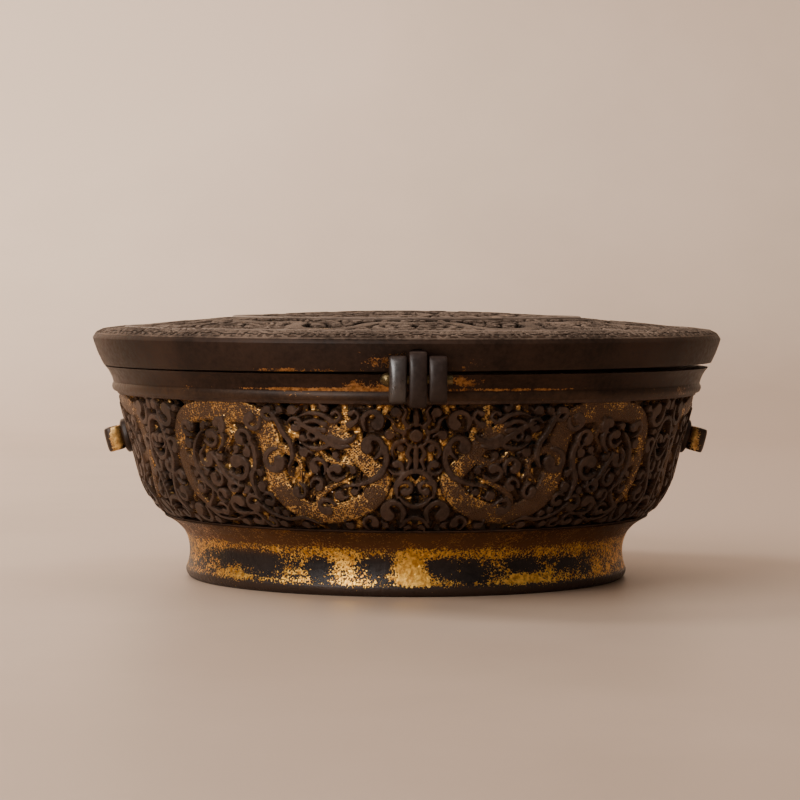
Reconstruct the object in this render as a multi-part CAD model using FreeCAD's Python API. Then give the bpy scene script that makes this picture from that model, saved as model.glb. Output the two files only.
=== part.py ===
import FreeCAD, Part
import math
import os

# Round case of pierced iron: a bowl-shaped openwork wall on a foot ring, closed by a low domed lid.
# Millimetres. +Z is up, the clasp is on -Y, the hinge on +Y and the strap lugs on -X and +X.
# The origin is the centre of the foot ring's face on the ground.

# Clearances and overruns
seat_clearance = 0.05
side_clearance = 0.55
pin_clearance = 0.07
cut_overrun = 2.0
relief_bite = 0.4

# Foot ring
foot_top_z = 14.0
foot_top_radius = 67.4
foot_waist_radius = 65.8
foot_waist_z = 8.5
foot_tread_radius = 66.9
foot_tread_z = 2.6
foot_edge_radius = 65.6
foot_wall = 4.0
foot_ledge_radius = 60.0
foot_ledge_thickness = 1.8

# Floor plate, on the ledge of the foot ring
floor_radius = 64.2
floor_thickness = 1.6

# Foot collar, a cavetto from the foot ring out to the wall
collar_top_z = 18.7
collar_top_radius = 73.4
collar_hollow = 0.5
collar_inner_top_radius = 69.0

# Pierced wall
wall_top_z = 56.3
wall_top_radius = 88.1
wall_turn_z = 31.4
wall_flare_deg = 15.0
wall_thickness = 2.6
relief_depth = 0.8

# Fillet and mouth band
fillet_height = 2.6
fillet_radius = 88.7
fillet_swell = 0.5
mouth_inner_radius = 85.0
band_foot_radius = 88.8
band_hollow = 0.35
mouth_radius = 91.3
mouth_z = 63.6

# Lid band
lid_gap_left = 0.3
lid_gap_right = 1.5
lid_rim_radius = 95.0
lid_rim_z = 72.1
lid_shoulder_radius = 92.0
lid_edge_radius = 91.6
lid_band_swell = 0.3
lid_shoulder_swell = 0.5
lid_band_wall = 4.4
lid_plate_thickness = 1.8

# Lid zones and their raised rings
lid_crown_z = 80.3
lid_dome_radius = 722.0
lid_crown_flat = 2.0
lid_centre_steps = 3
outer_ring_radius = 85.6
inner_ring_radius = 53.0
ring_width = 1.6
ring_rise = 0.35
ring_depth = 1.2

# Openwork of the wall: facing pairs of dragons among scroll-shaped piercings
dragon_count = 6
dragon_width = 8.4
dragon_side_points = 16
wall_hole_size = 5.2
wall_hole_pitch = 6.1
wall_hole_margin = 1.4
wall_hole_clear_share = 0.57
# Spine of a dragon from head to tail: shares of its bay's angle and of the openwork's height
dragon_spine_shares = [
    (0.235, 0.83), (0.185, 0.66), (0.130, 0.42), (0.175, 0.21), (0.290, 0.14), (0.410, 0.21),
    (0.475, 0.45), (0.490, 0.70), (0.560, 0.87), (0.680, 0.91), (0.795, 0.87), (0.855, 0.68),
    (0.875, 0.42), (0.800, 0.16),
]
# Half width of the body along the spine, head first, as shares of half the dragon's width
dragon_girth_shares = [1.15, 0.80, 0.95, 1.0, 1.0, 0.85, 0.55]
# Outline of one piercing, a comma, as shares of its size, and how it leans from one to the next
comma_shares = [(-0.46, -0.30), (0.16, -0.44), (0.46, 0.00), (0.10, 0.44), (-0.12, 0.06)]
comma_lean_deg = 75.0
comma_row_lean_deg = 140.0
first_column_share = 0.25
row_shift_share = 0.5

# Openwork of the lid: piercings in rows, each row as (share of the zone's width, count)
lid_hole_size = 6.6
lid_hole_clear_share = 0.5
middle_row_shares = [(0.16, 32), (0.38, 32), (0.61, 40), (0.84, 48)]
centre_row_shares = [(0.36, 12), (0.57, 18), (0.78, 24), (0.91, 30)]

# Winding bodies of the lid, raised from its panels: one right round the middle zone, arms in the centre
lid_relief_depth = 0.5
lid_spine_points = 10
middle_sectors = 8
middle_body_width = 5.6
centre_arms = 6
centre_body_width = 5.6
centre_boss_radius = 4.6
centre_collar_radius = 8.5
centre_collar_width = 1.4
# Spines as shares of a sector's angle and of the zone's width, and half widths as shares of half the width
middle_spine_shares = [
    (0.056, 0.278), (0.204, 0.214), (0.325, 0.343), (0.362, 0.583), (0.474, 0.770), (0.632, 0.764),
    (0.717, 0.550), (0.755, 0.311), (0.844, 0.214), (0.944, 0.278),
]
centre_spine_shares = [
    (-0.167, 0.195), (0.133, 0.273), (0.433, 0.321), (0.667, 0.448), (0.633, 0.604), (0.433, 0.691),
    (0.200, 0.740), (0.100, 0.847), (0.233, 0.927), (0.433, 0.915),
]
centre_girth_shares = [0.43, 0.82, 1.0, 1.0, 0.86, 0.36]

# Loops of the clasp and the hinge
loop_width = 4.85
loop_reach = 1.2
clasp_pin_z = 62.4
clasp_depth = 3.6
bowl_loop_height = 6.5
lid_loop_height = 7.7
hinge_pin_z = 63.9
hinge_knuckle_radius = 3.6
shank_width = 2.6
shank_peen = 0.7
loop_root_height = 4.2
loop_stand = 0.1

# Pins
pin_radius = 1.35
clasp_head_radius = 1.9
clasp_head_length = 2.4
clasp_head_flat = 0.3
clasp_pin_tip = 1.6
hinge_head_radius = 2.2
hinge_head_length = 0.8

# Strap fittings on the left and right
lug_z = 42.4
boss_radius = 5.2
boss_rim = 0.6
boss_dome = 0.9
pad_radius = 6.2
lug_height = 7.2
lug_width = 9.6
lug_projection = 5.4
lug_slot_depth = 2.6
lug_slot_width = 6.4
lug_corner = 1.6
tang_width = 3.4
tang_height = 2.6
washer_radius = 4.0
washer_thickness = 0.9
tang_peen = 0.6

# Derived places
bay_deg = 360.0 / dragon_count
flare = math.radians(wall_flare_deg)
openwork_height = wall_top_z - collar_top_z
fillet_top_z = wall_top_z + fillet_height
lid_underside_z = mouth_z + lid_gap_left
loop_pitch = loop_width + side_clearance
pin_y = lid_rim_radius + loop_reach


def point(r, z):
    """A point of a profile in the XZ plane."""
    return FreeCAD.Vector(r, 0, z)


def line(a, b):
    return Part.LineSegment(a, b).toShape()


def bulge(a, b, swell):
    """An arc from a to b whose middle stands off the chord by swell, to the left of a to b."""
    chord = b - a
    middle = (a + b) * 0.5 + FreeCAD.Vector(-chord.z, 0, chord.x).normalize() * swell
    return Part.Arc(a, middle, b).toShape()


def revolved(edges):
    """A closed profile turned about Z into a solid."""
    face = Part.Face(Part.Wire(Part.sortEdges(edges)[0]))
    solid = face.revolve(FreeCAD.Vector(0, 0, 0), FreeCAD.Vector(0, 0, 1), 360)
    return Part.Solid(solid.Shells[0]) if solid.ShapeType != "Solid" else solid


def ring_of(points):
    """A ring whose section is a polygon."""
    return revolved([line(a, b) for a, b in zip(points, points[1:] + points[:1])])


# Bowl-shaped profile of the wall: a straight flare above a tangent arc
def wall_radius(z, depth=0.0):
    """Radius of the wall at height z, on the surface that lies depth inside the outermost one."""
    flare_offset = depth / math.cos(flare)
    straight = wall_top_radius - (wall_top_z - z) * math.tan(flare) - flare_offset
    if z >= arc_top_z(depth):
        return straight
    reach = arc_radius - depth
    return arc_centre.x + math.sqrt(reach ** 2 - (z - arc_centre.z) ** 2)


def arc_top_z(depth):
    return wall_turn_z + depth * math.sin(flare)


def wall_normal(z):
    """Outward normal of the wall at height z, in the XZ plane."""
    if z >= wall_turn_z:
        return FreeCAD.Vector(math.cos(flare), 0, -math.sin(flare))
    return (point(wall_radius(z), z) - arc_centre).normalize()


turn_radius = wall_top_radius - (wall_top_z - wall_turn_z) * math.tan(flare)
arc_chord = point(turn_radius, wall_turn_z) - point(collar_top_radius, collar_top_z)
arc_half_turn = math.atan2(arc_chord.x, arc_chord.z) - flare
arc_radius = arc_chord.Length / (2 * math.sin(arc_half_turn))
arc_centre = point(turn_radius - arc_radius * math.cos(flare), wall_turn_z + arc_radius * math.sin(flare))


def wall_side(depth):
    """The arc and the straight flare of the wall, from its foot to its top, depth inside the outermost."""
    foot = point(wall_radius(collar_top_z, depth), collar_top_z)
    turn = point(wall_radius(arc_top_z(depth), depth), arc_top_z(depth))
    top = point(wall_radius(wall_top_z, depth), wall_top_z)
    middle_z = (collar_top_z + wall_turn_z) * 0.5
    middle = point(wall_radius(middle_z, depth), middle_z)
    return [Part.Arc(foot, middle, turn).toShape(), line(turn, top)], foot, top


def wall_shell(outer_depth, inner_depth):
    """A turned shell between two depths of the wall."""
    outer, outer_foot, outer_top = wall_side(outer_depth)
    inner, inner_foot, inner_top = wall_side(inner_depth)
    return revolved(outer + inner + [line(outer_top, inner_top), line(inner_foot, outer_foot)])


def dragon_spine():
    """The spine laid flat: along the wall's girth at the flare's turn, and up the openwork."""
    bay_length = math.radians(bay_deg) * wall_top_radius
    flat = [FreeCAD.Vector(a * bay_length, b * openwork_height, 0) for a, b in dragon_spine_shares]
    return through(flat).discretize(2 * dragon_side_points)


def girth(shares, width, place_share):
    """Half width of a body at a share of its spine's length."""
    place = place_share * (len(shares) - 1)
    low = min(int(place), len(shares) - 2)
    blend = place - low
    return (shares[low] * (1 - blend) + shares[low + 1] * blend) * width * 0.5


def dragon_girth(share):
    return girth(dragon_girth_shares, dragon_width, share)


def flanks(spine, half_widths, closed=False):
    """Points along the left and the right of a flat body, both in the order of its spine."""
    last = len(spine) - 1
    left, right = [], []
    for i, place in enumerate(spine):
        after = spine[(i + 1) % len(spine)] if closed else spine[min(i + 1, last)]
        before = spine[i - 1] if closed else spine[max(i - 1, 0)]
        ahead = (after - before).normalize()
        across = FreeCAD.Vector(-ahead.y, ahead.x, 0) * half_widths[i]
        left.append(place + across)
        right.append(place - across)
    return left, right


def through(points, closed=False):
    """A smooth curve through points."""
    curve = Part.BSplineCurve()
    curve.interpolate(Points=points, PeriodicFlag=closed)
    return curve


def parted(curve, pieces):
    """A curve as several edges, end to end."""
    first, last = curve.FirstParameter, curve.LastParameter
    stops = [first + (last - first) * k / pieces for k in range(pieces + 1)]
    return [curve.toShape(a, b) for a, b in zip(stops, stops[1:])]


def band_face(left, right, pieces=1):
    """A flat face between a body's two flanks, closed by straight ends."""
    ahead, back = through(left), through(right[::-1])
    ends = [line(ahead.EndPoint, back.StartPoint), line(back.EndPoint, ahead.StartPoint)]
    return Part.Face(Part.Wire(parted(ahead, pieces) + ends[:1] + parted(back, pieces) + ends[1:]))


def bay_side(bay):
    """Bays run away from a meeting of two heads: to the right in even bays, to the left in odd ones."""
    return 1 if bay % 2 == 0 else -1


def bay_start(bay):
    """Degrees from the front to the end of the bay where the dragon's head is."""
    return bay_deg * (bay + bay % 2)


def dragon_relief(layer, bay):
    """One dragon raised from the wall, mirrored in every other bay so that two face each other."""
    middle_deg = bay_deg * (bay + 0.5)
    spine = dragon_spine()[::2]
    half_widths = [dragon_girth(i / (len(spine) - 1)) for i in range(len(spine))]
    sides = []
    for flank in flanks(spine, half_widths):
        points = []
        for place in flank:
            z = collar_top_z + place.y
            turn = math.radians(bay_start(bay) - middle_deg) + bay_side(bay) * place.x / wall_top_radius
            points.append(FreeCAD.Vector(wall_radius(z) * math.sin(turn), -floor_radius / 2, z))
        sides.append(points)
    prism = band_face(*sides).extrude(FreeCAD.Vector(0, -wall_top_radius, 0))
    return layer.common(turned(prism, middle_deg))


def turned(shape, degrees):
    """A copy of a shape turned about Z."""
    copy = shape.copy()
    copy.rotate(FreeCAD.Vector(0, 0, 0), FreeCAD.Vector(0, 0, 1), degrees)
    return copy


def comma_prism(origin, across, up, outward, depth, size, lean_deg):
    """A comma-shaped cutter through a skin: its outline lies across and up, and it runs along outward."""
    lean = math.radians(lean_deg)
    corners = []
    for a, b in comma_shares:
        x = (a * math.cos(lean) - b * math.sin(lean)) * size
        y = (a * math.sin(lean) + b * math.cos(lean)) * size
        corners.append(origin + across * x + up * y + outward * cut_overrun)
    face = Part.Face(Part.makePolygon(corners + corners[:1]))
    return face.extrude(outward * -(depth + 2 * cut_overrun))


def from_lug(degrees, z):
    """Distance along the wall from a place on it to the nearest lug."""
    turn = (degrees - 90) % 180
    return math.hypot(math.radians(min(turn, 180 - turn)) * wall_radius(z), z - lug_z)


def wall_cutters():
    """Piercings in staggered rows that leave the dragons and the lugs' pads whole."""
    spine = dragon_spine()
    last = len(spine) - 1
    bay_length = math.radians(bay_deg) * wall_top_radius
    columns = round(bay_length / wall_hole_pitch)
    clear = wall_hole_size * wall_hole_clear_share
    low, high = wall_hole_margin + clear, openwork_height - wall_hole_margin - clear
    rows = round((high - low) / wall_hole_pitch) + 1
    cutters = []
    for row in range(rows):
        lift = low + (high - low) * row / (rows - 1)
        z = collar_top_z + lift
        up = FreeCAD.Vector(-wall_normal(z).z, 0, wall_normal(z).x)
        for column in range(columns):
            along = (column + first_column_share + row_shift_share * (row % 2)) * bay_length / columns
            gaps = [math.hypot(along - p.x, lift - p.y) - dragon_girth(i / last) for i, p in enumerate(spine)]
            if min(gaps) < clear:
                continue
            for bay in range(dragon_count):
                degrees = bay_start(bay) + bay_side(bay) * math.degrees(along / wall_top_radius)
                if from_lug(degrees, z) < pad_radius + clear:
                    continue
                lean = bay_side(bay) * (comma_lean_deg * column + comma_row_lean_deg * row)
                cutter = comma_prism(
                    point(wall_radius(z), z), FreeCAD.Vector(0, 1, 0), up, wall_normal(z),
                    wall_thickness, wall_hole_size, lean,
                )
                cutters.append(turned(cutter, degrees - 90))
    return cutters


def pierced_wall():
    """The openwork wall: pierced at its lower level, with the dragons and the lugs' pads left high."""
    base = wall_shell(relief_depth, wall_thickness)
    layer = wall_shell(0, relief_depth + relief_bite)
    high = [dragon_relief(layer, bay) for bay in range(dragon_count)]
    pad = Part.makeCylinder(pad_radius, 2 * cut_overrun, FreeCAD.Vector(0, 0, -cut_overrun))
    high += [layer.common(along_lug(pad, side)) for side in (-1, 1)]
    wall = base.cut(wall_cutters()).fuse(high)
    return wall.cut([along_lug(tang_cutter(), side) for side in (-1, 1)])


# Strap fittings stand square to the wall's flare. Their own frame has +X out of the wall.
def along_lug(shape, side):
    """Places a shape whose +Z runs out of the wall at the lug of one side, its own X along the girth."""
    copy = shape.copy()
    copy.rotate(FreeCAD.Vector(0, 0, 0), FreeCAD.Vector(0, 1, 0), 90 + wall_flare_deg)
    copy.translate(point(wall_radius(lug_z), lug_z))
    return turned(copy, 0 if side > 0 else 180)


def centred_box(across, up, low, high):
    """A block centred on its own Z axis from low to high."""
    return Part.makeBox(up, across, high - low, FreeCAD.Vector(-up / 2, -across / 2, low))


def tang_cutter():
    grow = 2 * seat_clearance
    return centred_box(tang_width + grow, tang_height + grow, -wall_thickness - cut_overrun, boss_rim + cut_overrun)


def strap_boss():
    """A domed disc against the wall, with the lug's square hole."""
    rim = point(boss_radius, boss_rim)
    crown = point(0, boss_rim + boss_dome)
    edges = [line(point(0, 0), point(boss_radius, 0)), line(point(boss_radius, 0), rim)]
    edges += [Part.Arc(rim, dome_middle(boss_radius, boss_rim, boss_dome), crown).toShape()]
    edges += [line(crown, point(0, 0))]
    return revolved(edges).cut(tang_cutter())


def dome_middle(radius, base, rise):
    """A point half way along the section of a dome that stands on base."""
    sphere = (radius ** 2 + rise ** 2) / (2 * rise)
    return point(radius / 2, base + rise - sphere + math.sqrt(sphere ** 2 - radius ** 2 / 4))


def strap_lug():
    """A loop for a strap, forged in one with the tang that goes through the boss and the wall."""
    foot = boss_rim + boss_dome + seat_clearance
    end = foot + lug_projection
    loop = centred_box(lug_width, lug_height, foot, end)
    corners = [e for e in loop.Edges if is_lug_corner(e, end)]
    loop = loop.makeFillet(lug_corner, corners)
    wall = (lug_projection - lug_slot_depth) / 2
    slot = centred_box(lug_slot_width, lug_height + 2 * cut_overrun, foot + wall, end - wall)
    tang_end = washer_back() - washer_thickness - tang_peen
    return loop.cut(slot).fuse(centred_box(tang_width, tang_height, tang_end, foot + wall / 2))


def is_lug_corner(edge, end):
    """True for the two outer corners of the lug, which run along its height."""
    middle = edge.CenterOfMass
    return abs(middle.z - end) < seat_clearance and abs(abs(middle.y) - lug_width / 2) < seat_clearance


def washer_back():
    """Where a flat washer lies behind the hollow side of the wall: its rim is what comes nearest."""
    rise = washer_radius ** 2 / (2 * (wall_radius(lug_z) - wall_thickness))
    return -wall_thickness - seat_clearance - rise


def lug_washer():
    grow = 2 * seat_clearance
    back = washer_back()
    disc = Part.makeCylinder(washer_radius, washer_thickness, FreeCAD.Vector(0, 0, back - washer_thickness))
    return disc.cut(centred_box(tang_width + grow, tang_height + grow, back - 2 * washer_thickness, 0))


def both_sides(shape):
    return Part.Compound([along_lug(shape, -1), along_lug(shape, 1)])


# Foot, collar and floor
def foot_ring():
    """The concave foot, rounded where it stands, with a ledge inside its top for the floor."""
    edge = point(foot_edge_radius, 0)
    tread = point(foot_tread_radius, foot_tread_z)
    waist = point(foot_waist_radius, foot_waist_z)
    top = point(foot_top_radius, foot_top_z)
    inner = foot_tread_radius - foot_wall
    inside = [
        point(foot_ledge_radius, foot_top_z),
        point(foot_ledge_radius, foot_top_z - foot_ledge_thickness),
        point(inner, foot_top_z - foot_ledge_thickness),
        point(inner, 0),
    ]
    edges = [bulge(tread, edge, (foot_tread_radius - foot_edge_radius) / 3), Part.Arc(tread, waist, top).toShape()]
    chain = [top] + inside + [edge]
    return revolved(edges + [line(a, b) for a, b in zip(chain, chain[1:])])


def floor_plate():
    return Part.makeCylinder(floor_radius, floor_thickness, FreeCAD.Vector(0, 0, foot_top_z))


def foot_collar():
    """The cavetto: it stands on the foot ring round the floor and carries the wall."""
    low_outer = point(foot_top_radius, foot_top_z)
    high_outer = point(collar_top_radius, collar_top_z)
    high_inner = point(collar_inner_top_radius, collar_top_z)
    low_inner = point(floor_radius + seat_clearance, foot_top_z + floor_thickness)
    seat = point(floor_radius + seat_clearance, foot_top_z)
    chain = [high_outer, high_inner, low_inner, seat, low_outer]
    return revolved([bulge(low_outer, high_outer, collar_hollow)] + [line(a, b) for a, b in zip(chain, chain[1:])])


# Mouth
def wall_fillet():
    low, high = point(fillet_radius, wall_top_z), point(fillet_radius, fillet_top_z)
    chain = [high, point(mouth_inner_radius, fillet_top_z), point(mouth_inner_radius, wall_top_z), low]
    return revolved([bulge(high, low, fillet_swell)] + [line(a, b) for a, b in zip(chain, chain[1:])])


def mouth_band():
    """The plain flared band round the mouth, slightly hollow outside, with slots for the loops' shanks."""
    low, high = point(band_foot_radius, fillet_top_z), point(mouth_radius, mouth_z)
    chain = [high, point(mouth_inner_radius, mouth_z), point(mouth_inner_radius, fillet_top_z), low]
    band = revolved([bulge(low, high, band_hollow)] + [line(a, b) for a, b in zip(chain, chain[1:])])
    return band.cut(band_shank_slots())


# Loops
def shank(low_z, high_z, inner_radius, root_y, grow, front):
    """A square shank through a band from root_y inwards. Front loops have it on -Y, rear ones on +Y."""
    width = shank_width + 2 * grow
    block = Part.makeBox(
        width, root_y - inner_radius, high_z - low_z + 2 * grow,
        FreeCAD.Vector(-width / 2, -root_y, low_z - grow),
    )
    return block if front else turned(block, 180)


def loop_places():
    return [-loop_pitch, loop_pitch]


def band_shank_slots():
    low, high = bowl_shank_span()
    slots = []
    for front in (True, False):
        for x in loop_places():
            slot = shank(low, high, mouth_inner_radius - cut_overrun, pin_y, seat_clearance, front)
            slot.translate(FreeCAD.Vector(x, 0, 0))
            slots.append(slot)
    return slots


def bowl_shank_span():
    middle = (fillet_top_z + mouth_z) / 2
    return middle - shank_width / 2 + side_clearance / 2, middle + shank_width / 2 - side_clearance / 2


def lid_shank_span():
    middle = (lid_underside_z + lid_rim_z) / 2 + shank_width / 2
    return middle - shank_width / 2, middle + shank_width / 2


def eye(depth, height, pin_z):
    """The eye of a loop seen along the pin: an ellipse of half depth and half height, with its bore."""
    centre = FreeCAD.Vector(-loop_width / 2, -pin_y, pin_z)
    along = FreeCAD.Vector(loop_width, 0, 0)
    major, minor, upright = (height, depth, True) if height > depth else (depth, height, False)
    if height == depth:
        rim = Part.Circle(centre, FreeCAD.Vector(1, 0, 0), height).toShape()
    else:
        tip = FreeCAD.Vector(0, 0, major) if upright else FreeCAD.Vector(0, major, 0)
        flank = FreeCAD.Vector(0, minor, 0) if upright else FreeCAD.Vector(0, 0, minor)
        rim = Part.Ellipse(centre + tip, centre + flank, centre).toShape()
    return Part.Face(Part.Wire(rim)).extrude(along)


def pin_bore(pin_z):
    start = FreeCAD.Vector(-loop_width, -pin_y, pin_z)
    return Part.makeCylinder(pin_radius + pin_clearance, 2 * loop_width, start, FreeCAD.Vector(1, 0, 0))


def root(outline):
    """The web that joins an eye to its band, as wide as the loop."""
    corners = [FreeCAD.Vector(-loop_width / 2, -r, z) for r, z in outline]
    return Part.Face(Part.makePolygon(corners + corners[:1])).extrude(FreeCAD.Vector(loop_width, 0, 0))


def band_line(z):
    """Radius of the mouth band's outside, its chord, at height z."""
    share = (z - fillet_top_z) / (mouth_z - fillet_top_z)
    return band_foot_radius + share * (mouth_radius - band_foot_radius)


def lid_line(z):
    """Radius of the lid band's outside, its chord, at height z."""
    share = (z - lid_underside_z) / (lid_rim_z - lid_underside_z)
    return lid_edge_radius + share * (lid_rim_radius - lid_edge_radius)


def bowl_loop(depth, height, pin_z, front):
    """A loop of the bowl: eye, web on the mouth band, and shank closed inside."""
    low, high = bowl_shank_span()
    web_low, web_high = fillet_top_z + seat_clearance, mouth_z - seat_clearance
    foot = loop_stand
    outline = [(band_line(web_low) + foot, web_low), (band_line(web_high) + foot, web_high)]
    outline += [(pin_y, web_high), (pin_y, max(web_low, pin_z - height))]
    body = eye(depth, height, pin_z).fuse([root(outline)]).cut(pin_bore(pin_z))
    body = body.fuse(shank(low, high, mouth_inner_radius - shank_peen, pin_y - 2 * pin_radius, 0, True))
    return body if front else turned(body, 180)


def lid_loop(depth, height, pin_z, front):
    """The lid's loop: eye, web on the lid band, and shank closed inside."""
    low, high = lid_shank_span()
    web_low, web_high = high - loop_root_height, high + seat_clearance
    foot = loop_stand + lid_band_swell
    outline = [(lid_line(web_low) + foot, web_low), (lid_line(web_high) + foot, web_high)]
    outline += [(pin_y, min(web_high, pin_z + height)), (pin_y, web_low)]
    inside = lid_line(low) - lid_band_wall - shank_peen
    body = eye(depth, height, pin_z).fuse([root(outline)]).cut(pin_bore(pin_z))
    body = body.fuse(shank(low, high, inside, lid_line(high) + side_clearance, 0, True))
    return body if front else turned(body, 180)


# Pins
def clasp_pin():
    """The removable pin: a domed head on the left and a short tip on the right."""
    left = -loop_pitch - loop_width / 2 - seat_clearance
    right = loop_pitch + loop_width / 2 + clasp_pin_tip
    crown = point(clasp_head_flat, -clasp_head_length)
    rim = point(clasp_head_radius, 0)
    middle = point(clasp_head_radius * math.sqrt(0.5), -clasp_head_length * math.sqrt(0.5))
    chain = [rim, point(pin_radius, 0), point(pin_radius, right - left), point(0, right - left)]
    chain += [point(0, -clasp_head_length), crown]
    pin = revolved([Part.Arc(crown, middle, rim).toShape()] + [line(a, b) for a, b in zip(chain, chain[1:])])
    pin.rotate(FreeCAD.Vector(0, 0, 0), FreeCAD.Vector(0, 1, 0), 90)
    pin.translate(FreeCAD.Vector(left, -pin_y, clasp_pin_z))
    return pin


def hinge_pin():
    """The fixed pin of the hinge, headed at both ends."""
    half = loop_pitch + loop_width / 2 + seat_clearance
    axis = FreeCAD.Vector(1, 0, 0)
    pin = Part.makeCylinder(pin_radius, 2 * half, FreeCAD.Vector(-half, pin_y, hinge_pin_z), axis)
    for start in (-half - hinge_head_length, half):
        place = FreeCAD.Vector(start, pin_y, hinge_pin_z)
        pin = pin.fuse(Part.makeCylinder(hinge_head_radius, hinge_head_length, place, axis))
    return pin


# Lid
def dome_z(r):
    """Height of the lid's low dome at radius r."""
    return lid_crown_z - lid_dome_radius + math.sqrt(lid_dome_radius ** 2 - r ** 2)


def lid_band():
    """The flared band of the lid with its rounded shoulder and border, cut to the gap that it leaves."""
    low = point(lid_edge_radius, lid_underside_z)
    rim = point(lid_rim_radius, lid_rim_z)
    shoulder = point(lid_shoulder_radius, dome_z(lid_shoulder_radius))
    border = point(outer_ring_radius + seat_clearance, dome_z(outer_ring_radius))
    ceiling = dome_z(outer_ring_radius) - lid_plate_thickness
    chain = [
        shoulder, border, point(border.x, ceiling),
        point(lid_rim_radius - lid_band_wall, ceiling),
        point(lid_edge_radius - lid_band_wall, lid_underside_z), low,
    ]
    edges = [bulge(rim, low, lid_band_swell), bulge(shoulder, rim, lid_shoulder_swell)]
    band = revolved(edges + [line(a, b) for a, b in zip(chain, chain[1:])])
    return band.cut([lid_gap_cutter()] + lid_shank_slots())


def lid_gap_cutter():
    """The wedge under the lid: its gap over the mouth grows from the left to the right."""
    reach = lid_rim_radius
    rise = (lid_gap_right - lid_gap_left) / (2 * mouth_radius)
    middle = mouth_z + (lid_gap_left + lid_gap_right) / 2
    low = mouth_z - cut_overrun
    corners = [
        FreeCAD.Vector(-reach, -reach, low), FreeCAD.Vector(reach, -reach, low),
        FreeCAD.Vector(reach, -reach, middle + rise * reach),
        FreeCAD.Vector(-reach, -reach, middle - rise * reach),
    ]
    return Part.Face(Part.makePolygon(corners + corners[:1])).extrude(FreeCAD.Vector(0, 2 * reach, 0))


def lid_shank_slots():
    low, high = lid_shank_span()
    inside = lid_rim_radius - lid_band_wall - cut_overrun - shank_width
    return [shank(low, high, inside, pin_y, seat_clearance, front) for front in (True, False)]


def raised_ring(outer_radius):
    """A ring that stands up between two zones of the lid and holds their edges."""
    inner_radius = outer_radius - ring_width
    middle_radius = (outer_radius + inner_radius) / 2
    low = dome_z(middle_radius) - lid_plate_thickness - ring_depth
    low_inner, low_outer = point(inner_radius, low), point(outer_radius, low)
    high_inner = point(inner_radius, dome_z(inner_radius))
    high_outer = point(outer_radius, dome_z(outer_radius))
    edges = [line(high_outer, low_outer), line(low_outer, low_inner), line(low_inner, high_inner)]
    return revolved(edges + [bulge(high_inner, high_outer, ring_rise)])


def lid_cutters(inner_radius, outer_radius, rows, bodies):
    """Comma piercings in rings through a zone of the lid, clear of its raised bodies."""
    cutters = []
    clear = lid_hole_size * lid_hole_clear_share
    for row, (share, count) in enumerate(rows):
        r = inner_radius + share * (outer_radius - inner_radius)
        for k in range(count):
            degrees = 360 * (k + row_shift_share * (row % 2)) / count
            middle = on_lid(r, degrees)
            if any((middle - place).Length < half_width + clear for place, half_width in bodies):
                continue
            origin = point(r, dome_z(r))
            across, up, out = FreeCAD.Vector(0, 1, 0), FreeCAD.Vector(1, 0, 0), FreeCAD.Vector(0, 0, 1)
            lean = comma_lean_deg * k + comma_row_lean_deg * row
            cutter = comma_prism(origin, across, up, out, lid_plate_thickness, lid_hole_size, lean)
            cutters.append(turned(cutter, degrees - 90))
    return cutters


def on_lid(r, degrees):
    """A place in the level plane over the lid, its angle measured from the front."""
    turn = math.radians(degrees)
    return FreeCAD.Vector(r * math.sin(turn), -r * math.cos(turn), lid_crown_z)


def lid_layer(top, high, low):
    """A turned layer of the lid between two depths under the points of its top."""
    return ring_of([p + point(0, -high) for p in top] + [p + point(0, -low) for p in reversed(top)])


def lid_relief(layer, faces):
    """Forms raised from the lid, each cut from a layer by a level face over it."""
    down = FreeCAD.Vector(0, 0, lid_rim_z - lid_crown_z)
    return [layer.common(face.extrude(down)) for face in faces]


def relief_panel(top, faces, cutters):
    """A pierced panel that lies low, with the given forms left high."""
    base = lid_layer(top, lid_relief_depth, lid_plate_thickness).cut(cutters)
    return base.fuse(lid_relief(lid_layer(top, 0, lid_relief_depth + relief_bite), faces))


def middle_spine(inner, outer):
    """The closed spine of the body round the middle zone, mirrored in every other sector."""
    sector_deg = 360 / middle_sectors
    places = []
    for sector in range(middle_sectors):
        shares = middle_spine_shares
        if sector % 2:
            shares = [(1 - a, b) for a, b in reversed(shares)]
        places += [on_lid(inner + b * (outer - inner), sector_deg * (sector + a)) for a, b in shares]
    return through(places, True).discretize(middle_sectors * lid_spine_points + 1)[:-1]


def middle_panel():
    """The openwork between the raised rings, with one winding body right round it."""
    inner, outer = inner_ring_radius + seat_clearance, outer_ring_radius - ring_width - seat_clearance
    spine = middle_spine(inner, outer)
    half = middle_body_width / 2
    left, right = [
        Part.Face(Part.Wire(parted(through(side, True), 2 * middle_sectors)))
        for side in flanks(spine, [half] * len(spine), True)
    ]
    band = right.cut(left)
    cutters = lid_cutters(inner, outer, middle_row_shares, [(place, half) for place in spine])
    return relief_panel([point(inner, dome_z(inner)), point(outer, dome_z(outer))], [band], cutters)


def centre_arm(outer):
    """One arm of the centre: its face, and its spine with half widths."""
    arm_deg = 360 / centre_arms
    places = [on_lid(b * outer, a * arm_deg) for a, b in centre_spine_shares]
    spine = through(places).discretize(2 * lid_spine_points)
    last = len(spine) - 1
    half_widths = [girth(centre_girth_shares, centre_body_width, i / last) for i in range(len(spine))]
    return band_face(*flanks(spine, half_widths), centre_arms), list(zip(spine, half_widths))


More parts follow.
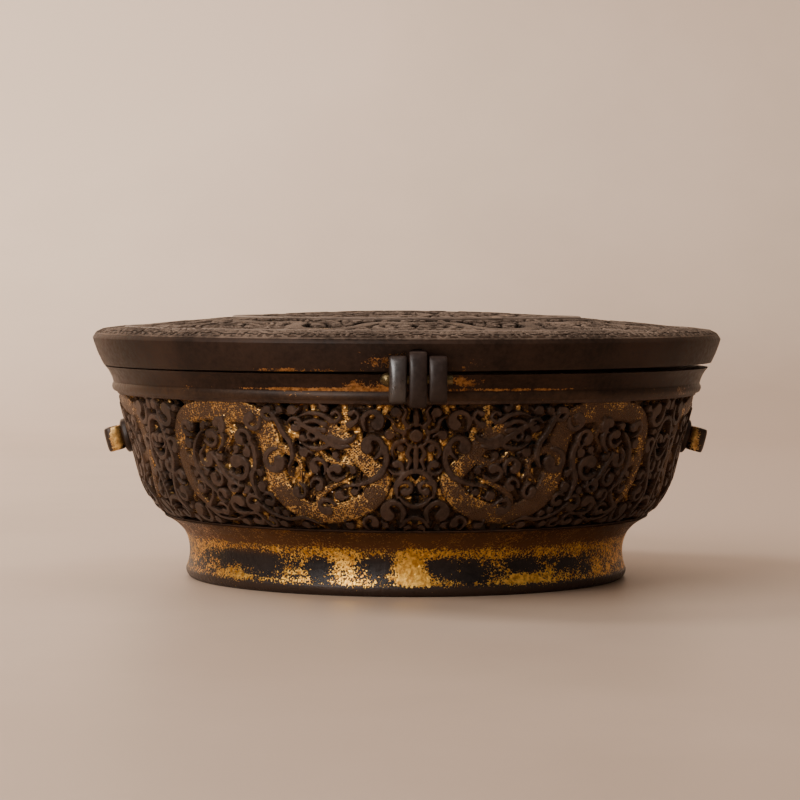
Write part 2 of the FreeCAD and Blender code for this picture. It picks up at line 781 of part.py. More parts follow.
def centre_panel():
    """The openwork disc in the middle of the lid: arms wound about a boss, on cones that follow the dome."""
    outer = inner_ring_radius - ring_width - seat_clearance
    step = (outer - lid_crown_flat) / lid_centre_steps
    radii = [lid_crown_flat + k * step for k in range(1, lid_centre_steps + 1)]
    top = [point(0, lid_crown_z), point(lid_crown_flat, lid_crown_z)] + [point(r, dome_z(r)) for r in radii]
    boss, rim, well = [
        Part.Face(Part.Wire(Part.makeCircle(r, point(0, lid_crown_z))))
        for r in (centre_boss_radius, centre_collar_radius, centre_collar_radius - centre_collar_width)
    ]
    arm, body = centre_arm(outer)
    turns = [k * 360 / centre_arms for k in range(centre_arms)]
    bodies = [(turned_place(place, turn), half_width) for turn in turns for place, half_width in body]
    bodies.append((on_lid(0, 0), centre_collar_radius))
    faces = [boss, rim.cut(well)] + [turned(arm, turn) for turn in turns]
    return relief_panel(top, faces, lid_cutters(0, outer, centre_row_shares, bodies))


def turned_place(place, degrees):
    return FreeCAD.Rotation(FreeCAD.Vector(0, 0, 1), degrees).multVec(place)


def placed(shape, x):
    copy = shape.copy()
    copy.translate(FreeCAD.Vector(x, 0, 0))
    return copy


def nodes():
    clasp_bowl = bowl_loop(clasp_depth, bowl_loop_height, clasp_pin_z, True)
    hinge_bowl = bowl_loop(hinge_knuckle_radius, hinge_knuckle_radius, hinge_pin_z, False)
    return {
        "foot_ring": foot_ring(),
        "floor_plate": floor_plate(),
        "foot_collar": foot_collar(),
        "pierced_wall": pierced_wall(),
        "wall_fillet": wall_fillet(),
        "mouth_band": mouth_band(),
        "clasp_loop_left": placed(clasp_bowl, -loop_pitch),
        "clasp_loop_right": placed(clasp_bowl, loop_pitch),
        "hinge_loop_left": placed(hinge_bowl, -loop_pitch),
        "hinge_loop_right": placed(hinge_bowl, loop_pitch),
        "hinge_pin": hinge_pin(),
        "strap_bosses": both_sides(strap_boss()),
        "strap_lugs": both_sides(strap_lug()),
        "lug_washers": both_sides(lug_washer()),
        "lid_band": lid_band(),
        "lid_ring_outer": raised_ring(outer_ring_radius),
        "lid_middle_panel": middle_panel(),
        "lid_ring_inner": raised_ring(inner_ring_radius),
        "lid_centre_panel": centre_panel(),
        "clasp_loop_centre": lid_loop(clasp_depth, lid_loop_height, clasp_pin_z, True),
        "hinge_loop_centre": lid_loop(hinge_knuckle_radius, hinge_knuckle_radius, hinge_pin_z, False),
        "clasp_pin": clasp_pin(),
    }


os.makedirs("parts", exist_ok=True)
for name, shape in nodes().items():
    print(name, shape.isValid(), len(shape.Solids), len(shape.Faces), round(shape.Volume, 1))
    shape.exportStep("parts/" + name + ".step")
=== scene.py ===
"""Visual model of a low round case of pierced and gilded iron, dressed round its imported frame.

Sizes of pieces are in millimetres and are turned into metres when a mesh is made. The clasp faces -Y.
"""

import logging
import math
from dataclasses import dataclass, field
from enum import Enum
from typing import Callable, Iterable, Sequence

import bpy
import numpy as np
from mathutils import Euler, Matrix, Vector


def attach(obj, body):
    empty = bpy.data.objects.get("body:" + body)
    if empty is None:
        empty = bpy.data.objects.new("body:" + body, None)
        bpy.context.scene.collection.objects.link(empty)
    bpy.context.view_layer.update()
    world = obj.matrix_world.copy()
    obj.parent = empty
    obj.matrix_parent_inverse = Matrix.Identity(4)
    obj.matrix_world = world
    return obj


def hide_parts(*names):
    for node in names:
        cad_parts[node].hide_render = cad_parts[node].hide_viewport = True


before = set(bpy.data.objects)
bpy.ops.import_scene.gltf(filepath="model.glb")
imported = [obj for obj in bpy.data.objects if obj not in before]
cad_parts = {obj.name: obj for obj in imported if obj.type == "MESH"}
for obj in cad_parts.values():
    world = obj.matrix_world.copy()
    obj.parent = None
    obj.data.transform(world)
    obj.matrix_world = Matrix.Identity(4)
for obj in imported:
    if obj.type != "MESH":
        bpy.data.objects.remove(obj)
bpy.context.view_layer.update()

Array = np.ndarray
Numbers = Sequence[float]
Triple = tuple[float, float, float]
Place = Callable[[Array, Array, Array], Array]
Profile = Callable[[Array, Array], tuple[Array, Array]]
Material = bpy.types.Material
Object = bpy.types.Object

MM = 0.001
FAR = 99.0
FULL_TURN = 2 * math.pi
REPORT = logging.getLogger("case")


# Numbers and curves


def smooth_step(value: Array) -> Array:
    """The cubic 3v^2 - 2v^3 of a value clipped to 0..1."""
    share = np.clip(value, 0.0, 1.0)
    return share * share * (3.0 - 2.0 * share)


def signed_power(wave: Array, power: float) -> Array:
    """A wave's size to a power, with its own sign."""
    return np.sign(wave) * np.abs(wave) ** power


def smooth_curve(points: Array, count: int) -> Array:
    """Samples a curve through points: cubic spans whose end slopes are half the neighbours' chord."""
    padded = np.vstack([2 * points[0] - points[1], points, 2 * points[-1] - points[-2]])
    place = np.linspace(0.0, len(points) - 1, count)
    span = np.minimum(place.astype(int), len(points) - 2)
    t = (place - span)[:, None]
    before, start, end, after = (padded[span + k] for k in range(4))
    return 0.5 * (
        2 * start
        + (end - before) * t
        + (2 * before - 5 * start + 4 * end - after) * t**2
        + (3 * start - before - 3 * end + after) * t**3
    )


# Layout of the openwork, drawn flat


class Level(Enum):
    """What a band of the openwork belongs to, lowest first."""

    WEB = "web"
    STRIP = "strip"
    BODY = "body"
    SCROLL = "scroll"
    CURL = "curl"


CARVED = (Level.BODY, Level.SCROLL, Level.CURL)


@dataclass(frozen=True)
class Relief:
    """Depths in mm of the openwork's levels below its outermost surface."""

    thickness: float
    web: float
    strip: float
    body: float
    scroll: float
    curl: float
    body_dome: float = 0.55
    body_dome_width: float = 3.6
    edge: float = 0.42
    step_width: float = 0.42


@dataclass(frozen=True)
class Stroke:
    """A band of changing width along a path on the flat layout, in mm."""

    path: Array
    half: Array
    level: Level
    scaled: bool = False


def stroke(points: Sequence, halves: Numbers, level: Level, count: int = 16, scaled: bool = False) -> Stroke:
    """A stroke along a smooth curve, with half widths spread evenly along it.

    Args:
        points: places that the path passes through, as pairs or as one row of numbers.
        halves: half widths from the start to the end.
        level: the level that the band belongs to.
        count: samples along the path.
        scaled: whether the band carries the dragons' scales.

    Returns:
        The stroke.
    """
    half = np.interp(np.linspace(0, 1, count), np.linspace(0, 1, len(halves)), halves)
    return Stroke(smooth_curve(np.asarray(points, float).reshape(-1, 2), count), half, level, scaled)


class Layout:
    """Signed distances to the bands of each level on a flat grid: positive inside a band."""

    def __init__(self, width: float, height: float, pitch: float, reach: float = 5.5) -> None:
        """Makes an empty grid.

        Args:
            width: extent along the first axis.
            height: extent along the second axis.
            pitch: distance between grid points.
            reach: how far outside a band its distance is still worked out.
        """
        self.width, self.height, self.reach = width, height, reach
        self.xs = np.linspace(0.0, width, round(width / pitch) + 1)
        self.ys = np.linspace(0.0, height, round(height / pitch) + 1)
        self.x, self.y = np.meshgrid(self.xs, self.ys, indexing="ij")
        self.inside = {level: np.full(self.x.shape, -FAR) for level in Level}
        self.run = np.zeros(self.x.shape + (3,))
        self.cut = np.full(self.x.shape, FAR)

    def away(self, x: float, y: float) -> Array:
        """Distances from a place."""
        return np.hypot(self.x - x, self.y - y)

    def draw(self, band: Stroke) -> None:
        """Adds a band: at each grid point, half width less distance, the largest over the path's segments."""
        start, step = band.path[:-1], np.diff(band.path, axis=0)
        margin = band.half.max() + self.reach
        low, high = band.path.min(0) - margin, band.path.max(0) + margin
        i0, i1 = np.searchsorted(self.xs, (low[0], high[0]))
        j0, j1 = np.searchsorted(self.ys, (low[1], high[1]))
        if i1 <= i0 or j1 <= j0:
            return
        dx = self.x[i0:i1, j0:j1, None] - start[:, 0]
        dy = self.y[i0:i1, j0:j1, None] - start[:, 1]
        square = np.maximum((step**2).sum(1), 1e-9)
        share = np.clip((dx * step[:, 0] + dy * step[:, 1]) / square, 0.0, 1.0)
        away = np.hypot(dx - share * step[:, 0], dy - share * step[:, 1])
        signed = band.half[:-1] + share * np.diff(band.half) - away
        best = signed.argmax(-1)[..., None]
        value = np.take_along_axis(signed, best, -1)[..., 0]
        window = self.inside[band.level][i0:i1, j0:j1]
        if band.scaled:
            length = np.sqrt(square)
            gone = np.concatenate([[0.0], np.cumsum(length)[:-1]])
            along = np.take_along_axis(gone + share * length, best, -1)[..., 0]
            side = (dy * step[:, 0] - dx * step[:, 1]) / length
            across = np.take_along_axis(side, best, -1)[..., 0]
            fresh = value > window
            self.run[i0:i1, j0:j1][fresh] = np.stack([along, across, np.ones_like(along)], -1)[fresh]
        np.maximum(window, value, out=window)

    def fill(self, level: Level, signed: Array) -> None:
        """Adds a region given by its own signed distances."""
        np.maximum(self.inside[level], signed, out=self.inside[level])

    def taken(self, levels: Iterable[Level]) -> Array:
        """The largest signed distance over some levels."""
        return np.maximum.reduce([self.inside[level] for level in levels])

    def solid(self) -> Array:
        """Signed distance to the piercings: positive in the metal."""
        return np.minimum(self.taken(Level), self.cut)

    def base_depth(self, relief: Relief) -> Array:
        """Depth of the surface before its edges are rounded.

        Each level replaces the ones below it over a short ramp across its outline. A body of half width w is
        domed: at a share v of w from its edge it lies lower by its dome times 1 - (1 - (1 - v)^2)^0.5.

        Args:
            relief: the depths of the levels.

        Returns:
            Depths on the grid.
        """
        depth = np.full(self.x.shape, relief.web)
        for level in (Level.STRIP, *CARVED):
            signed = self.inside[level]
            top = np.full(signed.shape, float(getattr(relief, level.value)))
            if level is Level.BODY:
                crown = np.clip(signed / relief.body_dome_width, 0.0, 1.0)
                top += relief.body_dome * (1.0 - np.sqrt(1.0 - (1.0 - crown) ** 2 * 0.999))
            depth += (top - depth) * smooth_step(signed / relief.step_width + 0.35)
        return depth


@dataclass
class ScrollPacker:
    """Fills the free ground of a layout with curls that touch one another."""

    layout: Layout
    seed: int
    overlap: float = 0.35
    scatter: float = 0.9
    stem_share: float = 0.17
    stem_least: float = 0.24
    lead: float = 0.8
    sweep: float = 1.25 * math.pi
    roll_from: float = 0.4
    opening: float = 0.34
    bulb: float = 0.5
    bulb_place: float = 0.42

    def __post_init__(self) -> None:
        """Starts from the distance to what is drawn, with the layout's ends open to its mirror image."""
        grid = self.layout
        self.random = np.random.default_rng(self.seed)
        ends = np.minimum(grid.x, grid.width - grid.x)
        self.clearance = np.minimum(-grid.taken(CARVED), ends + 0.5 * self.overlap)
        self.noise = self.scatter * self.random.random(grid.x.shape)
        self.found: list[tuple[float, float, float, float]] = []

    def fill(self, sizes: Sequence[tuple[float, int]], leaf_below: float) -> None:
        """Places discs size by size and draws each as a curl, or as a leaf if it is small.

        Args:
            sizes: radius of the discs and the most of them to place, largest first.
            leaf_below: radius under which a disc becomes a leaf.
        """
        for radius, limit in sizes:
            self.pack(radius, limit)
        for number, (x, y, radius, start) in enumerate(self.found):
            hand = 1 if self.random.random() < 0.5 else -1
            if radius < leaf_below:
                self.layout.draw(self.leaf(x, y, radius, start, hand))
            else:
                level = Level.CURL if number % 3 == 0 else Level.SCROLL
                self.layout.draw(self.curl(x, y, radius, start, hand, level))

    def pack(self, radius: float, limit: int) -> None:
        """Places up to a number of discs of one radius, each where it comes closest to touching something."""
        grid = self.layout
        for _ in range(limit):
            spare = self.clearance - radius + self.overlap
            cost = np.where(spare >= 0.0, spare + self.noise, FAR)
            i, j = np.unravel_index(cost.argmin(), cost.shape)
            if cost[i, j] >= FAR:
                return
            i_low, i_high = max(i - 2, 0), min(i + 2, len(grid.xs) - 1)
            j_low, j_high = max(j - 2, 0), min(j + 2, len(grid.ys) - 1)
            slope_x = self.clearance[i_high, j] - self.clearance[i_low, j]
            slope_y = self.clearance[i, j_high] - self.clearance[i, j_low]
            x, y = grid.xs[i], grid.ys[j]
            self.found.append((x, y, radius, math.atan2(-slope_y, -slope_x)))
            self.clearance = np.minimum(self.clearance, grid.away(x, y) - radius)

    def curl(self, x: float, y: float, radius: float, start: float, hand: int, level: Level) -> Stroke:
        """A stem that comes in from outside, runs round a disc and rolls up into a bulb.

        At turn a the path is at angle start + hand a. Its distance from the centre is the disc's radius less
        the stem's half width, times 1 + 0.34 a^2 while a is negative, and then shrinks by a smooth step
        to the bulb's place.

        Args:
            x: centre of the disc.
            y: centre of the disc.
            radius: radius of the disc.
            start: direction of the place where the curl springs from its neighbour.
            hand: 1 or -1, the sense of the roll.
            level: the level that it belongs to.

        Returns:
            The curl as a stroke.
        """
        turn = np.linspace(-self.lead, self.sweep, 26)
        roll = smooth_step((turn / self.sweep - self.roll_from) / (1.0 - self.roll_from))
        stem = self.stem_share * radius + self.stem_least
        lead_in = 1.0 + self.opening * np.minimum(turn, 0.0) ** 2
        reach = (radius - stem) * lead_in * (1.0 - roll) + self.bulb_place * radius * roll
        half = stem * (1.0 - roll) + self.bulb * radius * roll
        half *= np.clip(0.62 + 0.45 * (turn + self.lead), 0.0, 1.0)
        return Stroke(around(x, y, reach, start + hand * turn), half, level)

    def leaf(self, x: float, y: float, radius: float, start: float, hand: int) -> Stroke:
        """A small bulb on a short bent stem that springs from its neighbour."""
        turn = np.linspace(0.0, 1.0, 8)
        half = np.interp(turn, [0.0, 0.45, 1.0], [0.5, 0.55, 0.86 * radius])
        angle = start + hand * 0.9 * (1.0 - turn)
        return Stroke(around(x, y, radius * (1.25 - 1.2 * turn), angle), half, Level.SCROLL)

    def draw_curls(self, curls: Iterable[tuple[float, float, float, float, int]]) -> None:
        """Draws curls given by centre, radius, start in degrees and hand."""
        for x, y, radius, start, hand in curls:
            self.layout.draw(self.curl(x, y, radius, math.radians(start), hand, Level.CURL))

    def strips(self, level: Level, columns: int, rows: int, length: float, half: float) -> None:
        """Lays bent strips at a low level, one near each place of a loose grid.

        Args:
            level: the level that they belong to.
            columns: places along the width.
            rows: places along the height.
            length: a strip's length.
            half: half its width.
        """
        grid, draw = self.layout, self.random.uniform
        for place in range(columns * rows):
            jitter = draw(-0.38, 0.38, 2)
            x = (place // rows + 0.5 + jitter[0]) * grid.width / columns
            y = (place % rows + 0.5 + jitter[1]) * grid.height / rows
            angle = draw(0.15, 0.85) * math.pi
            bend = draw(-0.25, 0.25) * length
            reach = 0.5 * length * draw(0.7, 1.15)
            ahead = np.array([math.cos(angle), math.sin(angle)])
            across = np.array([-ahead[1], ahead[0]])
            middle = np.array([x, y])
            points = [middle - reach * ahead, middle + bend * across, middle + reach * ahead]
            wide = half * draw(0.75, 1.2)
            grid.draw(stroke(points, [0.75 * wide, wide, 0.8 * wide], level, 7))


def around(x: float, y: float, reach: Array, angle: Array) -> Array:
    """Places at distances and angles from a centre."""
    return np.stack([x + reach * np.cos(angle), y + reach * np.sin(angle)], -1)


# Meshes


@dataclass
class Shell:
    """A mesh in mm with values on its vertices."""

    vertices: Array
    triangles: Array
    values: dict[str, Array] = field(default_factory=dict)


def march(solid: Array) -> tuple[Array, Array, Array, Array]:
    """Cuts a grid along the line where a signed distance is zero.

    Each cell gives the polygon of its inner corners and of the crossings on its sides, cut into a fan.

    Args:
        solid: signed distances on the grid, positive inside.

    Returns:
        For each vertex the flat indices of its inner grid point and of the other one, and its share of the
        way between them, and then the triangles.
    """
    rows, columns = solid.shape
    index = np.arange(solid.size).reshape(rows, columns)
    value = solid.ravel()
    inner = value > 0.0
    first = np.concatenate([index[:-1, :].ravel(), index[:, :-1].ravel()])
    second = np.concatenate([index[1:, :].ravel(), index[:, 1:].ravel()])
    crossed = inner[first] != inner[second]
    corner = np.full(solid.size, -1)
    corner[inner] = np.arange(inner.sum())
    side = np.full(first.size, -1)
    side[crossed] = inner.sum() + np.arange(crossed.sum())
    split = (rows - 1) * columns
    along = side[:split].reshape(rows - 1, columns)
    up = side[split:].reshape(rows, columns - 1)
    grid = corner.reshape(rows, columns)
    corners = (grid[:-1, :-1], grid[1:, :-1], grid[1:, 1:], grid[:-1, 1:])
    sides = (along[:, :-1], up[1:, :], along[:, 1:], up[:-1, :])
    slots = np.stack([part for pair in zip(corners, sides) for part in pair], -1).reshape(-1, 8)
    code = (slots[:, ::2] >= 0) @ np.array([1, 2, 4, 8])
    triangles = []
    for pattern in range(1, 16):
        bits = [bool(pattern >> k & 1) for k in range(4)]
        picks: list[int] = []
        for k in range(4):
            picks += [2 * k] if bits[k] else []
            picks += [2 * k + 1] if bits[k] != bits[(k + 1) % 4] else []
        polygons = slots[code == pattern][:, picks]
        triangles += [polygons[:, [0, m, m + 1]] for m in range(1, len(picks) - 1)]
    inside_end = np.where(inner[first], first, second)[crossed]
    outside_end = np.where(inner[first], second, first)[crossed]
    whole = index.ravel()[inner]
    share = value[inside_end] / (value[inside_end] - value[outside_end])
    columns_of = ((whole, inside_end), (whole, outside_end), (np.zeros(whole.size), share), triangles)
    return tuple(np.concatenate(column) for column in columns_of)


def open_edges(triangles: Array, count: int) -> Array:
    """Directed edges of triangles that no other triangle runs along the other way."""
    edges = np.concatenate([triangles[:, [0, 1]], triangles[:, [1, 2]], triangles[:, [2, 0]]])
    forward = edges[:, 0] * count + edges[:, 1]
    backward = edges[:, 1] * count + edges[:, 0]
    return edges[~np.isin(forward, backward)]


def pierced_shell(
    layout: Layout, relief: Relief, place: Place, flip: bool, gilt: Array | None = None
) -> Shell:
    """Makes the closed shell of an openwork.

    The outer skin follows the relief, with its edges rounded like a quarter circle. The inner skin lies at
    the full thickness, and straight walls join the two round every piercing.

    Args:
        layout: the openwork, drawn flat.
        relief: the depths of its levels.
        place: turns flat places and depths into points.
        flip: whether place turns the layout over.
        gilt: how much gold each grid point holds, or nothing for none.

    Returns:
        The shell.
    """
    solid = layout.solid()
    inside, outside, share, faces = march(solid)
    grid = (layout.x.ravel(), layout.y.ravel())
    x, y = (part[inside] * (1 - share) + part[outside] * share for part in grid)
    rim = np.where(share > 0.0, 0.0, solid.ravel()[inside])
    round_over = relief.edge * (1.0 - np.sqrt(1.0 - (1.0 - np.clip(rim / relief.edge, 0.0, 1.0)) ** 2))
    depth = layout.base_depth(relief).ravel()[inside] + round_over
    count = x.size
    vertices = np.concatenate([place(x, y, depth), place(x, y, np.full(count, relief.thickness))])
    a, b = open_edges(faces, count).T
    walls = [np.stack([b, a, a + count], -1), np.stack([b, a + count, b + count], -1)]
    triangles = np.concatenate([faces, faces[:, ::-1] + count, *walls])
    nothing = np.zeros(count)
    gold = nothing if gilt is None else gilt.ravel()[inside]
    bare = layout.taken([Level.SCROLL, Level.CURL]) < 0.1
    run = (layout.run * bare[..., None]).reshape(-1, 3)[inside]
    values = {
        "gilt": np.concatenate([gold, nothing]),
        "rim": np.concatenate([rim, nothing]),
        # Depth as a share of the thickness; the openwork finishes paint shade by it.
        "sunk": np.concatenate([np.clip(depth / relief.thickness, 0, 1), np.ones(count)]),
        "run": np.concatenate([run, np.zeros((count, 3))]),
    }
    return Shell(vertices, triangles[:, ::-1] if flip else triangles, values)


def wrapped(profile: Profile, mean: float, start_deg: float, side: int) -> Place:
    """A place function that wraps a flat layout round Z.

    Args:
        profile: gives radius and height at a distance up the layout and a depth.
        mean: radius at which the layout is drawn.
        start_deg: angle of its first edge.
        side: 1 or -1, the way it runs.

    Returns:
        The function.
    """

    def place(x: Array, y: Array, depth: Array) -> Array:
        radius, z = profile(y, depth)
        turn = math.radians(start_deg) + side * x / mean
        return np.stack([radius * np.sin(turn), -radius * np.cos(turn), z], -1)

    return place


def sheet(rows: int, columns: int, closed_rows: bool = True, closed_columns: bool = True) -> Array:
    """Triangles over a grid of vertices that is kept row by row.

    Args:
        rows: vertices along the first way.
        columns: vertices along the second way.
        closed_rows: whether the last row joins the first one.
        closed_columns: whether the last column joins the first one.

    Returns:
        The triangles.
    """
    kept = np.arange(rows if closed_rows else rows - 1), np.arange(columns if closed_columns else columns - 1)
    row, column = (part.ravel() for part in np.meshgrid(*kept, indexing="ij"))
    below, beside = (row + 1) % rows * columns, (column + 1) % columns
    here, both = row * columns + column, below + beside
    halves = np.stack([here, below + column, both], -1), np.stack([here, both, row * columns + beside], -1)
    return np.concatenate(halves)


def prism(outline: Array, low: float, high: float) -> Shell:
    """A prism along X between two places over an outline in Y and Z, given anticlockwise from +X."""
    count = len(outline)
    ends = [np.column_stack([np.full(count, x), outline]) for x in (low, high)]
    first = np.arange(count)
    second = (first + 1) % count
    fan = np.stack([np.zeros(count - 2, int), first[1:-1], first[2:]], -1)
    walls = [
        np.stack([first, second, second + count], -1),
        np.stack([first, second + count, first + count], -1),
    ]
    return Shell(np.concatenate(ends), np.concatenate([fan[:, ::-1], fan + count, *walls]))


def merged(shells: Sequence[Shell]) -> Shell:
    """Several shells as one mesh."""
    offsets = np.cumsum([0] + [len(shell.vertices) for shell in shells[:-1]])
    return Shell(
        np.concatenate([shell.vertices for shell in shells]),
        np.concatenate([shell.triangles + offset for shell, offset in zip(shells, offsets)]),
        {key: np.concatenate([shell.values[key] for shell in shells]) for key in shells[0].values},
    )


def make_piece(name: str, shell: Shell, crease_deg: float = 46.0) -> Object:
    """Puts a shell into Blender.

    Args:
        name: the object's name.
        shell: the mesh, in mm.
        crease_deg: the angle over which an edge stays sharp.

    Returns:
        The object, at the origin.
    """
    mesh = bpy.data.meshes.new(name)
    faces = shell.triangles.astype(np.int32)
    mesh.vertices.add(len(shell.vertices))
    mesh.vertices.foreach_set("co", (shell.vertices * MM).astype(np.float32).ravel())
    mesh.loops.add(faces.size)
    mesh.loops.foreach_set("vertex_index", faces.ravel())
    mesh.polygons.add(len(faces))
    mesh.polygons.foreach_set("loop_start", np.arange(0, faces.size, 3, dtype=np.int32))
    mesh.update(calc_edges=True)
    mesh.polygons.foreach_set("use_smooth", np.ones(len(faces), bool))
    for key, data in shell.values.items():
        kind, part = ("FLOAT_VECTOR", "vector") if data.ndim == 2 else ("FLOAT", "value")
        mesh.attributes.new(key, kind, "POINT").data.foreach_set(part, data.astype(np.float32).ravel())
    mesh.set_sharp_from_angle(angle=math.radians(crease_deg))
    piece = bpy.data.objects.new(name, mesh)
    bpy.context.scene.collection.objects.link(piece)
    return piece


# Node graphs


class Value:
    """A node's output, which takes part in sums, differences and products."""

    def __init__(self, graph: "Graph", socket: bpy.types.NodeSocket) -> None:
        """Keeps the socket and its graph."""
        self.graph, self.socket = graph, socket

    def __add__(self, other: object) -> "Value":
        """This value and another one."""
        return self.graph.math("ADD", self, other)

    def __radd__(self, other: object) -> "Value":
        """A plain number and this value."""
        return self.graph.math("ADD", other, self)

    def __sub__(self, other: object) -> "Value":
        """This value less another one."""
        return self.graph.math("SUBTRACT", self, other)

    def __rsub__(self, other: object) -> "Value":
        """A plain number less this value."""
        return self.graph.math("SUBTRACT", other, self)

    def __mul__(self, other: object) -> "Value":
        """This value times another one."""
        return self.graph.math("MULTIPLY", self, other)


class Graph:
    """Short ways to add and join nodes in one tree."""

    def __init__(self, tree: bpy.types.NodeTree) -> None:
        """Takes the tree to work in."""
        self.tree = tree

    def add(self, kind: str, inputs: dict | None = None, **settings: object) -> bpy.types.Node:
        """Adds a node, sets its own properties and fills its inputs, which are named or numbered."""
        node = self.tree.nodes.new("ShaderNode" + kind)
        for key, value in settings.items():
            setattr(node, key, value)
        for key, value in (inputs or {}).items():
            self.put(node.inputs[key], value)
        return node

    def put(self, socket: bpy.types.NodeSocket, value: object) -> None:
        """Joins a socket to a value, or gives it a plain number or an opaque colour."""
        if isinstance(value, Value):
            self.tree.links.new(value.socket, socket)
        elif value is not None:
            socket.default_value = (*value, 1.0) if socket.type == "RGBA" else value

    def math(self, operation: str, first: object, second: object = None, clamp: bool = False) -> Value:
        """One arithmetic step."""
        node = self.add("Math", {0: first, 1: second}, operation=operation, use_clamp=clamp)
        return Value(self, node.outputs[0])

    def span(self, value: object, low: float, high: float, start: float = 0.0, end: float = 1.0) -> Value:
        """Maps low..high to start..end with a smooth step."""
        given = dict(enumerate((value, low, high, start, end)))
        return Value(self, self.add("MapRange", given, interpolation_type="SMOOTHSTEP").outputs[0])

    def near(self, value: Value, middle: float, reach: float) -> Value:
        """1 where a value is at the middle, falling to 0 at the reach from it."""
        return self.span(self.math("ABSOLUTE", value - middle), 0.0, reach, 1.0, 0.0)

    def mix(self, factor: object, first: object, second: object) -> Value:
        """Blends two colours."""
        node = self.add("Mix", {"Factor": factor}, data_type="RGBA")
        self.put(node.inputs[6], first)
        self.put(node.inputs[7], second)
        return Value(self, node.outputs[2])

    def noise(self, place: Value, scale: float, detail: float, roughness: float = 0.55) -> Value:
        """Fractal noise, 0..1, with scale in cycles per mm."""
        given = {"Vector": place, "Scale": scale, "Detail": detail, "Roughness": roughness}
        return Value(self, self.add("TexNoise", given).outputs[0])

    def cells(self, place: Value, scale: float, randomness: float) -> Value:
        """Distance in a cell pattern, with scale in cells per mm."""
        node = self.add("TexVoronoi", {"Vector": place, "Scale": scale, "Randomness": randomness})
        return Value(self, node.outputs["Distance"])

    def scaled(self, vector: Value, factor: Triple) -> Value:
        """A vector times another one."""
        return Value(self, self.add("VectorMath", {0: vector, 1: factor}, operation="MULTIPLY").outputs[0])

    def place_mm(self) -> Value:
        """Object coordinates in mm."""
        return self.scaled(Value(self, self.add("TexCoord").outputs["Object"]), (1 / MM,) * 3)

    def parts(self, vector: Value) -> list[Value]:
        """A vector's three parts."""
        return [Value(self, socket) for socket in self.add("SeparateXYZ", {0: vector}).outputs]

    def attribute(self, name: str, output: str = "Fac") -> Value:
        """A value kept on the mesh."""
        return Value(self, self.add("Attribute", attribute_name=name).outputs[output])

    def bump(self, height: Value, strength: float, distance_mm: float) -> Value:
        """A normal bent by a height."""
        given = {"Strength": strength, "Distance": distance_mm * MM, "Height": height}
        return Value(self, self.add("Bump", given).outputs[0])

    def group(self, tree: bpy.types.NodeTree, **given: object) -> dict[str, Value]:
        """Uses a node group with its inputs by name, and returns its outputs by name."""
        node = self.add("Group", node_tree=tree)
        for key, value in given.items():
            self.put(node.inputs[key], value)
        return {socket.name: Value(self, socket) for socket in node.outputs}


def new_group(name: str, inputs: dict[str, str], outputs: dict[str, str]) -> tuple[Graph, dict, dict]:
    """Starts a node group.

    Args:
        name: its name.
        inputs: socket kind of each input.
        outputs: socket kind of each output.

    Returns:
        A graph on the group, its inputs' values and its output sockets, both by name.
    """
    tree = bpy.data.node_groups.new(name, "ShaderNodeTree")
    for way, sockets in (("INPUT", inputs), ("OUTPUT", outputs)):
        for title, kind in sockets.items():
            tree.interface.new_socket(title, in_out=way, socket_type="NodeSocket" + kind)
    graph = Graph(tree)
    entry, end = tree.nodes.new("NodeGroupInput"), tree.nodes.new("NodeGroupOutput")
    return graph, {socket.name: Value(graph, socket) for socket in entry.outputs}, end.inputs


class Effects:
    """The node groups that several finishes share."""

    def __init__(self) -> None:
        """Builds each group once."""
        self.patina = self._patina()
        self.leaf_gold = self._leaf_gold()

    @staticmethod
    def _patina() -> bpy.types.NodeTree:
        """Iron's colour drifts between two tones with fine pits: noise at three scales."""
        graph, given, out = new_group(
            "Iron patina",
            {"Place": "Vector", "Dark": "Color", "Light": "Color"},
            {"Color": "Color", "Roughness": "Float", "Height": "Float"},
        )
        broad = graph.noise(given["Place"], 0.055, 4.0)
        fine = graph.noise(given["Place"], 0.7, 5.0, 0.65)
        pits = graph.span(graph.cells(given["Place"], 0.55, 1.0), 0.0, 0.28)
        tone = graph.span(broad * 0.6 + fine * 0.5, 0.36, 0.74)
        graph.put(out["Color"], graph.mix(tone, given["Dark"], given["Light"]))
        graph.put(out["Roughness"], graph.span(fine, 0.2, 0.8, -0.08, 0.14))
        graph.put(out["Height"], fine * 0.7 + pits * 0.3)
        return graph.tree

    @staticmethod
    def _leaf_gold() -> bpy.types.NodeTree:
        """Where worn gold leaf is left: noise at three scales held against the share that is left."""
        graph, given, out = new_group(
            "Worn gold",
            {"Place": "Vector", "Share": "Float", "Broken": "Float", "Dark": "Color", "Light": "Color"},
            {"Mask": "Float", "Color": "Color"},
        )
        broad = graph.noise(given["Place"], 0.13, 4.0, 0.6)
        fine = graph.noise(given["Place"], 0.85, 6.0, 0.7)
        crumb = graph.noise(given["Place"], 1.9, 3.0, 0.6)
        loss = broad * 0.9 + fine * 0.55 + (crumb - 0.5) * given["Broken"]
        graph.put(out["Mask"], graph.span(given["Share"] * 1.15 - (loss - 0.22), -0.02, 0.05))
        tone = graph.span(graph.noise(given["Place"], 0.9, 4.0), 0.3, 0.7)
        graph.put(out["Color"], graph.mix(tone, given["Dark"], given["Light"]))
        return graph.tree


# Finishes


def new_material(name: str) -> tuple[Material, Graph, bpy.types.Node]:
    """An empty material with one Principled shader."""
    material = bpy.data.materials.new(name)
    material.use_nodes = True
    material.node_tree.nodes.clear()
    graph = Graph(material.node_tree)
    shader = graph.add("BsdfPrincipled")
    graph.add("OutputMaterial", {"Surface": Value(graph, shader.outputs[0])})
    return material, graph, shader


